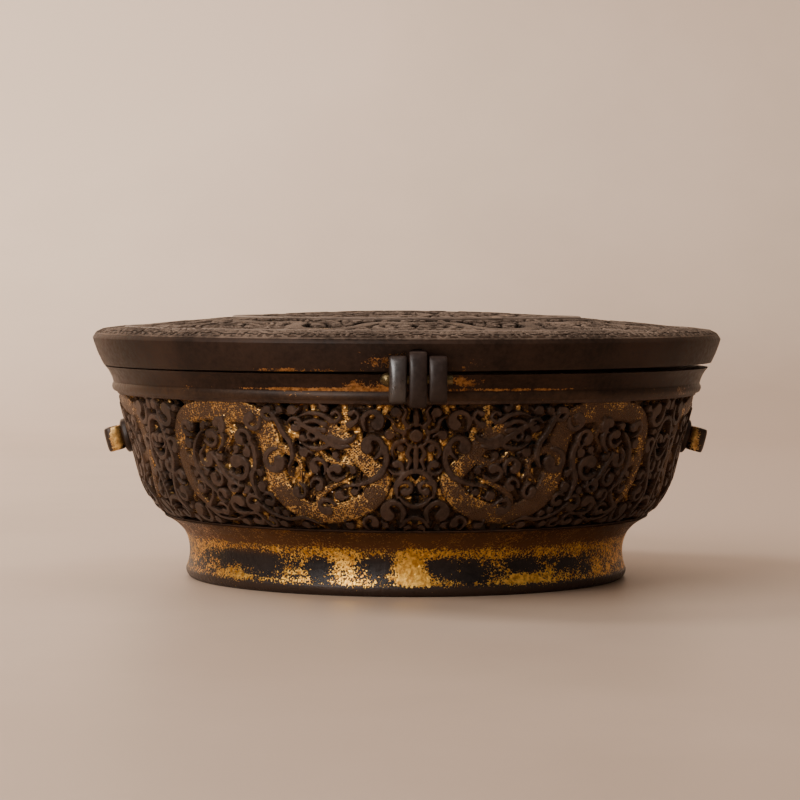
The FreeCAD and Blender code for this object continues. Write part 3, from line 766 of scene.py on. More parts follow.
@dataclass(frozen=True)
class IronFinish:
    """Patinated iron that may keep some gilding."""

    name: str
    dark: Triple
    light: Triple
    roughness: float
    metal: float = 0.55
    bump: float = 0.35
    gold: float = 0.0
    broken: float = 0.35
    stain_low: float = 13.0
    stain_high: float = 18.0
    stain: float = 0.0
    specular: float = 0.4
    gold_dark: Triple = (0.30, 0.145, 0.045)
    gold_light: Triple = (0.74, 0.46, 0.17)
    gold_roughness: float = 0.34
    gold_metal: float = 0.9
    stain_color: Triple = (0.155, 0.060, 0.014)

    def build(self, effects: Effects) -> Material:
        """Makes the material on Object coordinates."""
        material, graph, shader = new_material(self.name)
        place = graph.place_mm()
        color, rough, height = self.ground(graph, effects, place)
        if self.stain:
            rise = graph.span(graph.parts(place)[2], self.stain_low, self.stain_high, 0.0, self.stain)
            color = graph.mix(rise, color, self.stain_color)
        mask = self.gild(graph, effects, shader, place, self.gold_share(graph, place), color, rough)
        graph.put(shader.inputs["Normal"], graph.bump(height + mask * 0.35, self.bump, 0.25))
        return material

    def gild(
        self, graph: Graph, effects: Effects, shader: bpy.types.Node, place: Value, share: object,
        iron: Value, rough: Value,
    ) -> Value:
        """Joins iron and worn gold in the shader.

        Args:
            graph: the material's graph.
            effects: the shared groups.
            shader: the Principled shader.
            place: coordinates in mm.
            share: how much gilding is left.
            iron: the iron's colour.
            rough: the iron's roughness.

        Returns:
            The mask of the gilding.
        """
        colors = {"Dark": self.gold_dark, "Light": self.gold_light}
        leaf = graph.group(effects.leaf_gold, Place=place, Share=share, Broken=self.broken, **colors)
        mask = leaf["Mask"]
        polish = graph.add("Mix", {"Factor": mask, 2: rough, 3: self.gold_roughness}, data_type="FLOAT")
        graph.put(shader.inputs["Base Color"], graph.mix(mask, iron, leaf["Color"]))
        graph.put(shader.inputs["Metallic"], graph.span(mask, 0.0, 1.0, self.metal, self.gold_metal))
        graph.put(shader.inputs["Roughness"], Value(graph, polish.outputs[0]))
        shader.inputs["Specular IOR Level"].default_value = self.specular
        return mask

    def ground(self, graph: Graph, effects: Effects, place: Value) -> tuple[Value, Value, Value]:
        """The iron's own colour, roughness and height."""
        patina = graph.group(effects.patina, Place=place, Dark=self.dark, Light=self.light)
        rough = graph.math("ADD", patina["Roughness"], self.roughness, clamp=True)
        return patina["Color"], rough, patina["Height"]

    def gold_share(self, graph: Graph, place: Value) -> object:
        """The share of gilding that is left, the same all over."""
        return self.gold


@dataclass(frozen=True)
class OpenworkFinish(IronFinish):
    """Chiselled iron, gilded as the mesh says, with a fine line inside every outline, scaled bodies and
    painted shade that darkens its deeper parts.
    """

    scale_size: float = 0.62
    # shade_from, shade_to and shade: painted shade, which darkens points by their depth towards near black.
    shade_from: float = 0.28
    shade_to: float = 0.68
    pit_gold: float = 0.5
    body_stain: float = 0.0
    shade: Triple = (0.012, 0.0072, 0.0048)
    gilt_ground: Triple = (0.110, 0.046, 0.014)
    body_color: Triple = (0.120, 0.058, 0.022)

    def build(self, effects: Effects) -> Material:
        """Makes the material on Object coordinates and the mesh's own values."""
        material, graph, shader = new_material(self.name)
        place = graph.place_mm()
        color, rough, height = self.ground(graph, effects, place)
        # Painted shade: recesses, the low webs and the walls of the piercings are darkened by their depth.
        sunk = graph.span(graph.attribute("sunk"), self.shade_from, self.shade_to, 0.0, 0.93)
        color = graph.mix(sunk, color, self.shade)
        run = graph.attribute("run", "Vector")
        body = graph.parts(run)[2]
        flat = graph.scaled(run, (1.0 / self.scale_size, 1.0 / self.scale_size, 0.0))
        scales = graph.span(graph.cells(flat, 1.0, 0.55), 0.1, 0.62, 1.0, 0.0)
        stain = graph.span(graph.attribute("gilt"), 0.06, 0.42, 0.0, 0.6)
        color = graph.mix(stain, color, self.gilt_ground)
        color = graph.mix(body * self.body_stain, color, self.body_color)
        share = graph.attribute("gilt") + (0.62 - scales) * body * self.pit_gold
        self.gild(graph, effects, shader, place, share, color, rough)
        rim = graph.attribute("rim")
        line = graph.span(rim, 0.12, 0.26) * graph.span(rim, 0.34, 0.5, 1.0, 0.0)
        relief = height * 0.5 + line * -0.4 + scales * body * 0.9
        graph.put(shader.inputs["Normal"], graph.bump(relief, self.bump, 0.3))
        return material


@dataclass(frozen=True)
class Patch:
    """A worn patch of gilding: its middle and reach in degrees round the case and in mm of height."""

    angle: float
    angle_reach: float
    height: float
    height_reach: float
    share: float


@dataclass(frozen=True)
class BandFinish(IronFinish):
    """A plain band that keeps gilding in patches."""

    patches: tuple[Patch, ...] = ()

    def gold_share(self, graph: Graph, place: Value) -> object:
        """The even share, and the patches' shares on top of it."""
        x, y, z = graph.parts(place)
        angle = graph.math("ARCTAN2", x, y * -1.0) * math.degrees(1.0)
        total: object = self.gold
        for patch in self.patches:
            near = graph.near(angle, patch.angle, patch.angle_reach) * patch.share
            total = total + near * graph.near(z, patch.height, patch.height_reach)
        return total


@dataclass(frozen=True)
class LugFinish(BandFinish):
    """A gilded strap loop, bare where a strap has rubbed its outer end."""

    gilt_radius: float = 87.6
    gilt_reach: float = 4.2

    def gold_share(self, graph: Graph, place: Value) -> object:
        """The patches' shares, which fade towards the outer end."""
        x, y, _ = graph.parts(place)
        away = graph.math("SQRT", x * x + y * y)
        return super().gold_share(graph, place) * graph.near(away, self.gilt_radius, self.gilt_reach)


@dataclass(frozen=True)
class FootFinish(BandFinish):
    """A gilded foot: bare brown along its lower edge, with a belt of bare islands in the gold above."""

    bare_below: float = 1.7
    full_above: float = 4.0
    belt_low: float = 4.2
    belt_top: float = 12.6
    island_loss: float = 0.24
    rim_loss: float = 0.34
    base: Triple = (0.056, 0.033, 0.023)

    def ground(self, graph: Graph, effects: Effects, place: Value) -> tuple[Value, Value, Value]:
        """The iron as elsewhere, but browner near the floor."""
        color, rough, height = super().ground(graph, effects, place)
        low = graph.span(graph.parts(place)[2], self.bare_below, self.full_above, 0.9, 0.0)
        return graph.mix(low, color, self.base), rough, height

    def gold_share(self, graph: Graph, place: Value) -> object:
        """Share by height, less where the islands are, and more in the patches."""
        height = graph.parts(place)[2]
        islands = graph.noise(graph.scaled(place, (1.0, 1.0, 1.9)), 0.085, 9.0, 0.72)
        rise = graph.span(height, self.belt_low - 1.6, self.belt_low + 1.0)
        belt = rise * graph.span(height, self.belt_top - 4.0, self.belt_top, 1.0, 0.0)
        kept = super().gold_share(graph, place) - graph.span(islands, 0.46, 0.53) * belt * self.island_loss
        kept -= graph.span(height, self.belt_top - 0.6, self.belt_top + 2.6, 0.0, self.rim_loss)
        return graph.span(height, self.bare_below, self.full_above) * kept


def dress(piece: Object, material: Material, body: str, slot: str, *replaced: str) -> None:
    """Gives a piece its finish and its body, hides the nodes that it stands for, and reports it."""
    piece.data.materials.append(material)
    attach(piece, body)
    if replaced:
        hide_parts(*replaced)
    REPORT.info("%s: %d triangles", piece.name, len(piece.data.polygons))


def finish_node(name: str, material: Material) -> None:
    """Gives a node of the frame its finish."""
    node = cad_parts[name]
    node.data.materials.clear()
    node.data.materials.append(material)
    REPORT.info("%s: finish %s", name, material.name)


# The wall's openwork


@dataclass
class WallOpenwork:
    """The bowl-shaped openwork: dragons in mirrored bays, scrolls between them and strips lower down."""

    bays: int = 6
    flat_radius: float = 84.0
    foot_radius: float = 73.4
    foot_z: float = 18.7
    turn_z: float = 31.4
    top_z: float = 56.3
    top_radius: float = 88.1
    flare_deg: float = 15.0
    pitch: float = 0.3
    foot_rim: float = 1.3
    top_rim: float = 1.2
    lug_z: float = 42.4
    pad_radius: float = 5.4
    pearl_up: float = 31.0
    pearl_radius: float = 2.0
    flame_reach: float = 10.0
    rich_deg: float = -18.0
    rich_reach: float = 25.0
    head_place: tuple[float, float] = (15.3, 48.4)
    relief: Relief = Relief(thickness=2.6, web=2.1, strip=1.5, body=0.6, scroll=0.3, curl=0.0, body_dome=0.45)

    def __post_init__(self) -> None:
        """Works out the profile: an arc from the foot that runs into a straight flare."""
        self.flare = math.radians(self.flare_deg)
        turn_radius = self.top_radius - (self.top_z - self.turn_z) * math.tan(self.flare)
        chord = np.array([turn_radius - self.foot_radius, self.turn_z - self.foot_z])
        half_turn = math.atan2(chord[0], chord[1]) - self.flare
        self.arc_radius = float(np.hypot(*chord)) / (2 * math.sin(half_turn))
        self.centre_r = turn_radius - self.arc_radius * math.cos(self.flare)
        self.centre_z = self.turn_z + self.arc_radius * math.sin(self.flare)
        self.arc_length = 2 * half_turn * self.arc_radius
        self.height = self.arc_length + (self.top_z - self.turn_z) / math.cos(self.flare)
        self.width = FULL_TURN * self.flat_radius / self.bays

    def along(self, z: float) -> float:
        """Distance up the profile from the foot to height z."""
        if z >= self.turn_z:
            return self.arc_length + (z - self.turn_z) / math.cos(self.flare)
        foot_angle = math.asin((self.centre_z - self.foot_z) / self.arc_radius)
        return self.arc_radius * (foot_angle - math.asin((self.centre_z - z) / self.arc_radius))

    def flat(self, places: Numbers) -> Array:
        """Places in degrees from the heads' meeting and heights, laid flat."""
        pairs = zip(places[::2], places[1::2])
        return np.array([(math.radians(degrees) * self.flat_radius, self.along(z)) for degrees, z in pairs])

    def profile(self, up: Array, depth: Array) -> tuple[Array, Array]:
        """Radius and height at a distance up the profile and a depth.

        On the arc the angle runs evenly from where the offset arc meets the foot's height to the flare. Above
        it the height runs evenly to the top, and the radius lies on the offset flare.

        Args:
            up: distances up the outermost profile.
            depth: depths below it.

        Returns:
            Radii and heights.
        """
        reach = self.arc_radius - depth
        start = -np.arcsin((self.centre_z - self.foot_z) / reach)
        angle = start + (-self.flare - start) * np.clip(up / self.arc_length, 0, 1)
        low_z = self.turn_z + depth * math.sin(self.flare)
        share = (up - self.arc_length) / (self.height - self.arc_length)
        high = low_z + (self.top_z - low_z) * np.clip(share, 0, 1)
        flare_r = self.top_radius - (self.top_z - high) * math.tan(self.flare) - depth / math.cos(self.flare)
        on_arc = share < 0
        radius = np.where(on_arc, self.centre_r + reach * np.cos(angle), flare_r)
        return radius, np.where(on_arc, self.centre_z + reach * np.sin(angle), high)

    def dragon(self) -> list[Stroke]:
        """One dragon from its head at the meeting to its tail, as flat strokes."""
        body = (
            15.6, 47.6, 12.6, 44, 9.9, 39.2, 6.9, 34.4, 7.9, 29.9, 11.4, 26.2, 16.6, 24.2, 21.9, 24.5, 26,
            27.7, 28.2, 33.4, 28.6, 39.4, 29, 45.4, 30.8, 50.4, 34.6, 52.4, 39.6, 52.6, 44.6, 52.4, 49,
            50.6, 51.6, 46.4, 52.4, 40.4, 52, 33.6, 50.2, 28, 47.6, 24.4,
        )
        girth = (2.4, 2.7, 3.1, 3.4, 3.5, 3.5, 3.5, 3.5, 3.4, 3.2, 3.0, 2.5, 1.9, 1.0)
        strokes = [stroke(self.flat(body), girth, Level.BODY, 90, scaled=True)]
        legs = (
            (11, 40.4, 13.8, 38.6, 16.8, 39.4, 18.4, 42), (19.6, 26, 19, 29.6, 16.6, 31.8, 14, 33.4),
            (27.6, 43, 24.8, 41.4, 22.8, 38.6, 22.8, 35.8), (36.4, 51.6, 38.6, 48.6, 37.6, 45.6, 38.8, 43),
            (51, 38, 47.4, 36.2, 45.2, 38.2, 44.8, 40.4),
        )
        for leg in legs:
            flat = self.flat(leg)
            strokes.append(stroke(flat, (1.8, 1.35, 0.95, 0.75), Level.BODY, 14, scaled=True))
            heel, toe = flat[-2:]
            ahead = (toe - heel) / np.hypot(*(toe - heel))
            across = np.array([-ahead[1], ahead[0]])
            for lean in (-1.0, 0.0, 1.0):
                tip = toe + ahead * (2.9 - 0.8 * abs(lean)) + across * lean * 2.1
                bend = toe + ahead * 1.4 + across * lean * 1.3
                strokes.append(stroke([toe, bend, tip], (0.75, 0.55, 0.3), Level.BODY, 7))
        tail = (
            (47.8, 24.8, 45.2, 23.2, 42.4, 24, 41, 26.6), (47.8, 24.8, 46, 26.6, 44.6, 29.4, 45.2, 32),
            (47.8, 24.8, 45.4, 21.8, 41.6, 21.4, 38.6, 22.6),
        )
        strokes += [stroke(self.flat(line), (1.0, 0.8, 0.6, 0.3), Level.CURL, 12) for line in tail]
        return strokes + self.head()

    def head(self) -> list[Stroke]:
        """The dragon's head, which looks towards the meeting: its scaled skull, then jaws, horns and mane."""
        middle = self.flat(self.head_place)[0]
        parts = (
            ((1.6, -0.4, -0.6, 0.4, -2.8, 0.8, -5, 0.9), (2.9, 2.7, 1.9, 1.35)),
            ((-4.4, 1.2, -6, 2.1, -6.9, 3.6, -6, 5, -4.7, 4.4), (1.1, 0.8, 0.65, 0.7, 0.95)),
            ((1.2, -2.6, -1.6, -3.7, -4.4, -3.3, -5.8, -2), (1.1, 0.95, 0.8, 0.5)),
            ((0.6, 2.2, 3.4, 4, 7, 4.4, 10.2, 3.2), (0.95, 0.8, 0.65, 0.3)),
            ((2.4, 1.2, 5.6, 2.2, 8.6, 1.4, 10.8, -0.4), (0.9, 0.75, 0.6, 0.3)),
            ((2.8, -0.6, 5.6, -0.2, 7.6, -1.8, 6.4, -3.4, 5, -2.6), (0.8, 0.7, 0.6, 0.6, 0.8)),
            ((0.4, -3.4, 3, -5.4, 6.6, -5.8, 9.6, -4.4), (0.8, 0.85, 0.7, 0.3)),
            ((-0.6, 1.9, -1.9, 3.4, -1, 4.9, 0.3, 4.3), (0.7, 0.6, 0.55, 0.8)),
        )
        strokes = []
        for number, (points, halves) in enumerate(parts):
            level = Level.CURL if number else Level.BODY
            path = middle + np.reshape(points, (-1, 2))
            strokes.append(stroke(path, halves, level, 16, scaled=not number))
        return strokes

    def vines(self, grid: Layout) -> None:
        """Draws the large stems and curls that lie over the dragon."""
        stems = (
            ((20.6, 16, 15.2, 16.9, 10.4, 19.2, 8.2, 23.6, 8.6, 27.4), (0.4, 0.8, 0.95, 1, 1)),
            (
                (41.6, 38.2, 39.4, 35.6, 37.6, 31.6, 35.6, 28.4, 35.3, 24.4, 36.8, 21.4),
                (0.5, 0.9, 0.95, 0.9, 0.85, 0.4),
            ),
            ((33.4, 34.6, 29.2, 32.6, 25.4, 29.9, 21.8, 27.6, 18.6, 27.8), (0.6, 1, 1.05, 1, 0.5)),
            ((48.6, 12.4, 49.6, 17.4, 47.6, 22, 47.4, 26.4, 48.8, 29.6), (0.7, 0.95, 1, 0.9, 0.6)),
            ((53.6, 15, 57.8, 17, 60.6, 20.6, 63, 24.6), (0.5, 0.85, 0.9, 0.6)),
            ((56.4, 35.6, 58, 32.4, 57.6, 28.6, 60, 25.4), (0.5, 0.8, 0.85, 0.5)),
            ((66.4, 30.4, 69.6, 26.4, 70.6, 21.4, 68.4, 16.4, 64.2, 13), (0.6, 0.8, 0.9, 0.8, 0.4)),
            ((-1, 20.6, 0, 20.8, 2.6, 19.9, 5.4, 16.6, 5.2, 12.8), (1, 1, 0.95, 0.9, 0.5)),
            ((-1, 10.2, 0, 10, 2.6, 10.9, 4.6, 13), (0.9, 0.9, 0.8, 0.5)),
            ((-1, 6.2, 0, 6.4, 2.4, 5.6, 4.4, 2.8), (0.9, 0.9, 0.85, 0.7)),
            (
                (-3.4, 31, -2.4, 33.4, 0, 34.4, 2.4, 33.4, 3.4, 31, 2.4, 28.6, 0, 27.6, -2.4, 28.6),
                (0.55, 0.55),
            ),
            ((0, 34.2, 0.3, 36.4, 0, 38.8), (0.9, 0.6, 0.3)),
            ((2, 33.4, 3.4, 35.4, 2.8, 38, 3.8, 39.6), (0.8, 0.75, 0.6, 0.4)),
            ((3.2, 31.8, 5.6, 33, 6.4, 35.4, 8.2, 36.8), (0.8, 0.75, 0.6, 0.3)),
            ((3, 29.6, 5.4, 28.8, 6.6, 26.4, 6, 24.2), (0.8, 0.8, 0.65, 0.3)),
            ((1.4, 28, 2.4, 25.8, 1.6, 23.6, 2.4, 21.4), (0.8, 0.8, 0.7, 0.6)),
            ((0, 27.8, 0.2, 24.4, 0, 20.8), (0.8, 0.7, 0.7)),
            ((89, 34.2, 88, 34.4, 85.6, 33.6, 83.2, 31), (0.9, 0.9, 0.85, 0.6)),
            ((89, 22, 88, 21.8, 85.6, 22.8, 83.6, 25.6), (0.9, 0.9, 0.85, 0.6)),
            ((89, 9.8, 88, 10, 85.4, 9.2, 83, 6.4), (0.9, 0.9, 0.85, 0.6)),
            (
                (82, 5.4, 84.8, 11, 83.4, 17.4, 81.6, 23.4, 83.6, 29.6, 86.2, 35),
                (0.5, 0.85, 0.9, 0.9, 0.8, 0.4),
            ),
            ((30, 3.6, 34.6, 5.6, 39.6, 5, 44.6, 6.6, 49, 10.4), (0.4, 0.7, 0.8, 0.8, 0.6)),
        )
        for points, halves in stems:
            grid.draw(stroke(points, halves, Level.CURL, 24))
        curls = (
            (12, 27.6, 3.7, 215, -1), (41, 23.2, 3.9, 60, -1), (46.5, 34.6, 3.1, 200, 1),
            (26.4, 9.6, 3, 120, -1), (41.2, 37, 2.6, 230, 1), (33.6, 33.9, 2.5, 60, 1),
            (22.6, 20, 2.9, 250, 1), (50.6, 29.4, 3.1, 190, -1), (50.4, 10, 3.2, 110, -1),
            (71.3, 31.6, 2.7, 300, 1), (65.4, 23.2, 3.2, 40, -1), (58.4, 33, 2.6, 250, -1),
            (2.9, 15.6, 2.5, 60, 1), (56.6, 15.4, 2.6, 200, 1), (34.2, 14.4, 2.6, 140, 1),
            (28.6, 16.4, 2.4, 20, 1), (63.6, 7.4, 2.7, 70, 1), (80.4, 26, 3, 0, 1), (85, 20, 2.6, 160, 1),
            (81, 11.6, 2.9, 330, -1),
        )
        ScrollPacker(grid, seed=11).draw_curls(curls)

    def layout(self, with_lug: bool, webs: int) -> Layout:
        """Draws one bay.

        Args:
            with_lug: whether a strap lug's pad lies in it.
            webs: how many times webs are laid behind it.

        Returns:
            The layout.
        """
        grid = Layout(self.width, self.height, self.pitch)
        grid.fill(Level.SCROLL, self.foot_rim - grid.y)
        grid.fill(Level.SCROLL, grid.y - (self.height - self.top_rim))
        for band in self.dragon():
            grid.draw(band)
        self.vines(grid)
        grid.fill(Level.CURL, self.pearl_radius - grid.away(0.0, self.pearl_up))
        packer = ScrollPacker(grid, seed=11)
        packer.fill(((4.2, 8), (3.6, 14), (3.0, 24), (2.5, 34), (2.0, 34), (1.5, 22)), leaf_below=2.1)
        packer.strips(Level.STRIP, 11, 5, 10.5, 0.95)
        # Webs are low strips that fill most of the piercings; the finish's painted shade makes them near
        # black, standing in for the shade inside the case.
        for _ in range(webs):
            packer.strips(Level.WEB, 22, 10, 9.5, 0.95)
        eye = self.flat(self.head_place)[0] + (-1.3, 1.0)
        grid.cut = grid.away(*eye) - 0.5
        if with_lug:
            grid.fill(Level.CURL, self.pad_radius - grid.away(self.width / 2, self.along(self.lug_z)))
        return grid

    def gilt(self, grid: Layout, start_deg: float, side: int) -> Array:
        """How much gold is left: most in the lower level and on edges, and most at the front left.

        Args:
            grid: the bay's layout.
            start_deg: where the bay starts.
            side: 1 if the bay runs to the right and -1 if it runs to the left.

        Returns:
            Shares on the grid.
        """
        degrees = start_deg + side * np.degrees(grid.x / self.flat_radius)
        off = (degrees - self.rich_deg + 180.0) % 360.0 - 180.0
        rise = smooth_step((grid.y / self.height - 0.15) / 0.6)
        rich = np.exp(-((off / self.rich_reach) ** 2)) * (0.4 + 0.6 * rise)
        in_body = grid.inside[Level.BODY]
        over_body = smooth_step(grid.taken([Level.SCROLL, Level.CURL]) / 0.3)
        body = smooth_step(in_body / 0.4 + 0.3) * (1 - over_body)
        flank = body * np.exp(-np.clip(in_body, 0, None) / 0.9)
        edge = np.exp(-np.clip(grid.solid(), 0, None) / 0.5)
        top = 0.03 * rich + body * (0.02 + 0.06 * rich) + 0.24 * flank * rich + 0.12 * edge * rich
        sunk = smooth_step(-grid.taken(CARVED) / 0.3 + 0.2)
        low = smooth_step(grid.inside[Level.STRIP] / 0.3 + 0.2)
        flame = smooth_step((self.flame_reach - grid.away(0.0, self.pearl_up)) / 3.0)
        share = top * (1 - sunk) + low * (0.12 + 0.72 * rich) * sunk
        return np.clip(share + 0.3 * flame * rich, 0, 1)

    def build(self, material: Material) -> None:
        """Makes one piece for each bay; the two rear bays carry more webs."""
        layouts = [self.layout(bay == 1, 3 if bay == 2 else 1) for bay in range(self.bays // 2)]
        for bay in range(self.bays):
            start, side = 360.0 / self.bays * (bay + bay % 2), 1 - 2 * (bay % 2)
            grid = layouts[min(bay, self.bays - 1 - bay)]
            place = wrapped(self.profile, self.flat_radius, start, side)
            shell = pierced_shell(grid, self.relief, place, side < 0, self.gilt(grid, start, side))
            piece = make_piece(f"wall_openwork_{bay + 1}", shell)
            dress(piece, material, "bowl", "openwork_iron", "pierced_wall")


# The lid's openwork


@dataclass
class LidOpenwork:
    """The lid's carved zones: a centre, a middle zone of mirrored sectors and a narrow border on the band."""

    crown_z: float = 80.3
    dome_radius: float = 722.0
    centre_radius: float = 51.35
    inner_radius: float = 53.05
    outer_radius: float = 83.95
    sectors: int = 8
    border_inner: float = 86.0
    border_outer: float = 94.3
    border_radii: tuple[float, ...] = (85.6, 92.0, 93.8, 95.0)
    shoulder_heights: tuple[float, float] = (73.65, 72.1)
    border_lift: float = 0.42
    border_sectors: int = 24
    pitch: float = 0.38
    centre_pitch: float = 0.43
    border_pitch: float = 0.36
    border_rim: float = 0.55
    rim: float = 0.8
    boss_radius: float = 4.6
    relief: Relief = Relief(
        thickness=1.8, web=1.3, strip=1.0, body=0.25, scroll=0.12, curl=0.0, body_dome=0.4,
        body_dome_width=2.6,
        edge=0.45,
    )
    border_relief: Relief = Relief(
        thickness=0.8, web=0.6, strip=0.45, body=0.0, scroll=0.1, curl=0.0, body_dome=0.2,
        body_dome_width=1.2,
        edge=0.3,
    )

    def dome(self, radius: Array) -> Array:
        """Height of the dome, a sphere's cap, at a radius."""
        return self.crown_z - self.dome_radius + np.sqrt(self.dome_radius**2 - radius**2)

    def middle_layout(self) -> Layout:
        """Draws one sector of the middle zone, laid flat at its mean radius."""
        mean = 0.5 * (self.inner_radius + self.outer_radius)
        width, height = FULL_TURN / self.sectors * mean, self.outer_radius - self.inner_radius
        grid = Layout(width, height, self.pitch)
        grid.fill(Level.SCROLL, self.rim - np.minimum(grid.y, height - grid.y))
        body = (
            -3, 8.6, 3, 8.6, 11, 6.6, 17.5, 10.6, 19.5, 18, 25.5, 23.8, 34, 23.6, 38.6, 17, 40.6, 9.6, 45.4,
            6.6, 50.8, 8.6, 56.8, 8.6,
        )
        grid.draw(stroke(body, (2.8, 2.8), Level.BODY, 60, scaled=True))
        stems = (
            ((4, 28, 9, 24.5, 12.5, 18.5, 9.5, 13.5), (0.6, 1, 1, 0.6)),
            ((22, 4, 27, 7.6, 31.5, 13, 30.5, 18), (0.6, 1, 1, 0.6)),
            ((50, 27.5, 45.5, 24.5, 43.6, 19.5, 47, 14.5), (0.6, 1, 1, 0.6)),
            ((0, 17, 3, 19.5, 4, 24), (0.9, 0.9, 0.6)),
        )
        for points, halves in stems:
            grid.draw(stroke(points, halves, Level.CURL, 20))
        curls = (
            (6.6, 14.8, 3.8, 20, 1), (27.4, 15, 3.8, 330, -1), (49.5, 18.4, 3.8, 190, -1),
            (14, 26.2, 3.4, 200, 1), (33.8, 6.4, 3.6, 120, 1), (41.8, 27, 3, 300, -1),
        )
        ScrollPacker(grid, seed=5).draw_curls(curls)
        packer = ScrollPacker(grid, seed=5)
        packer.fill(((3.6, 8), (3.0, 14), (2.5, 20), (2.0, 22), (1.6, 12)), leaf_below=1.9)
        packer.strips(Level.STRIP, 7, 4, 10.0, 0.9)
        return grid

    def centre_layout(self) -> Layout:
        """Draws the round centre: six scaled bodies wound about a boss, with curls between them."""
        radius = self.centre_radius
        grid = Layout(2 * radius, 2 * radius, self.centre_pitch)
        away = grid.away(radius, radius)
        grid.cut = radius - away
        grid.fill(Level.SCROLL, away - (radius - self.rim))
        grid.fill(Level.CURL, self.boss_radius - away)
        grid.fill(Level.SCROLL, 0.7 - np.abs(away - 1.7 * self.boss_radius))
        turns = (
            -10, 10, 8, 14, 26, 16.5, 40, 23, 38, 31, 26, 35.5, 12, 38, 6, 43.5, 14, 47.6, 26, 47,
        )
        for arm in range(6):
            angles = np.radians([turn + 60.0 * arm for turn in turns[::2]])
            path = around(radius, radius, np.array(turns[1::2]), angles)
            grid.draw(stroke(path, (1.2, 2.3, 2.8, 2.8, 2.4, 1.0), Level.BODY, 80, scaled=True))
        packer = ScrollPacker(grid, seed=8)
        packer.fill(((4.2, 24), (3.4, 40), (2.8, 50), (2.2, 70), (1.7, 40)), leaf_below=2.0)
        packer.strips(Level.STRIP, 12, 12, 10.0, 0.9)
        return grid

    def border_layout(self) -> Layout:
        """Draws one part of the border: a running stem with curls."""
        mean = 0.5 * (self.border_inner + self.border_outer)
        width, height = FULL_TURN / self.border_sectors * mean, self.border_outer - self.border_inner
        grid = Layout(width, height, self.border_pitch, reach=2.0)
        grid.fill(Level.SCROLL, self.border_rim - (height - grid.y))
        stem = (-1.0, 2.2, 1.0, 2.2, 0.30 * width, 5.9, 0.62 * width, 2.4, width - 1.0, 6.0, width + 1.0, 6.0)
        grid.draw(stroke(stem, (0.7, 0.7), Level.CURL, 24))
        ScrollPacker(grid, seed=3).fill(((2.1, 6), (1.6, 10), (1.2, 16), (0.85, 14)), leaf_below=1.3)
        return grid

    def ring(
        self, grid: Layout, relief: Relief, ends: Sequence[tuple[float, int]], inner: float, outer: float,
        height: Callable[[Array], Array],
    ) -> Shell:
        """Sectors of a ring as one mesh.

        Args:
            grid: one sector, drawn flat.
            relief: the depths of its levels.
            ends: for each sector the angle of its first edge in degrees, and 1 or -1, the way it runs.
            inner: radius of its inner edge.
            outer: radius of its outer edge.
            height: gives the height at a radius.

        Returns:
            The mesh.
        """

        def profile(up: Array, depth: Array) -> tuple[Array, Array]:
            return inner + up, height(inner + up) - depth

        places = [(wrapped(profile, 0.5 * (inner + outer), start, side), side > 0) for start, side in ends]
        return merged([pierced_shell(grid, relief, place, flip) for place, flip in places])

    def border_height(self, radius: Array) -> Array:
        """Height of the border's carving: the band's straight top and its shoulder, raised."""
        heights = [float(self.dome(place)) for place in self.border_radii[:2]]
        return np.interp(radius, self.border_radii, [*heights, *self.shoulder_heights]) + self.border_lift

    def build(self, material: Material) -> None:
        """Makes the pieces of the three zones."""
        middle = self.middle_layout()
        for quarter in range(self.sectors // 2):
            start = 360.0 / self.sectors * (2 * quarter + 1)
            pair = ((start, 1), (start, -1))
            shell = self.ring(middle, self.relief, pair, self.inner_radius, self.outer_radius, self.dome)
            piece = make_piece(f"lid_openwork_{quarter + 1}", shell)
            dress(piece, material, "lid", "lid_iron", "lid_middle_panel")

        def flat(x: Array, y: Array, depth: Array) -> Array:
            east, north = x - self.centre_radius, y - self.centre_radius
            return np.stack([east, north, self.dome(np.hypot(east, north)) - depth], -1)

        shell = pierced_shell(self.centre_layout(), self.relief, flat, False)
        dress(make_piece("lid_centre_openwork", shell), material, "lid", "lid_iron", "lid_centre_panel")
        step = 360.0 / self.border_sectors
        ends = [(step * (number + number % 2), 1 - 2 * (number % 2)) for number in range(self.border_sectors)]
        edges = (self.border_inner, self.border_outer, self.border_height)
        border = self.ring(self.border_layout(), self.border_relief, ends, *edges)
        dress(make_piece("lid_border", border), material, "lid", "lid_iron")


# The clasp's and the hinge's loops


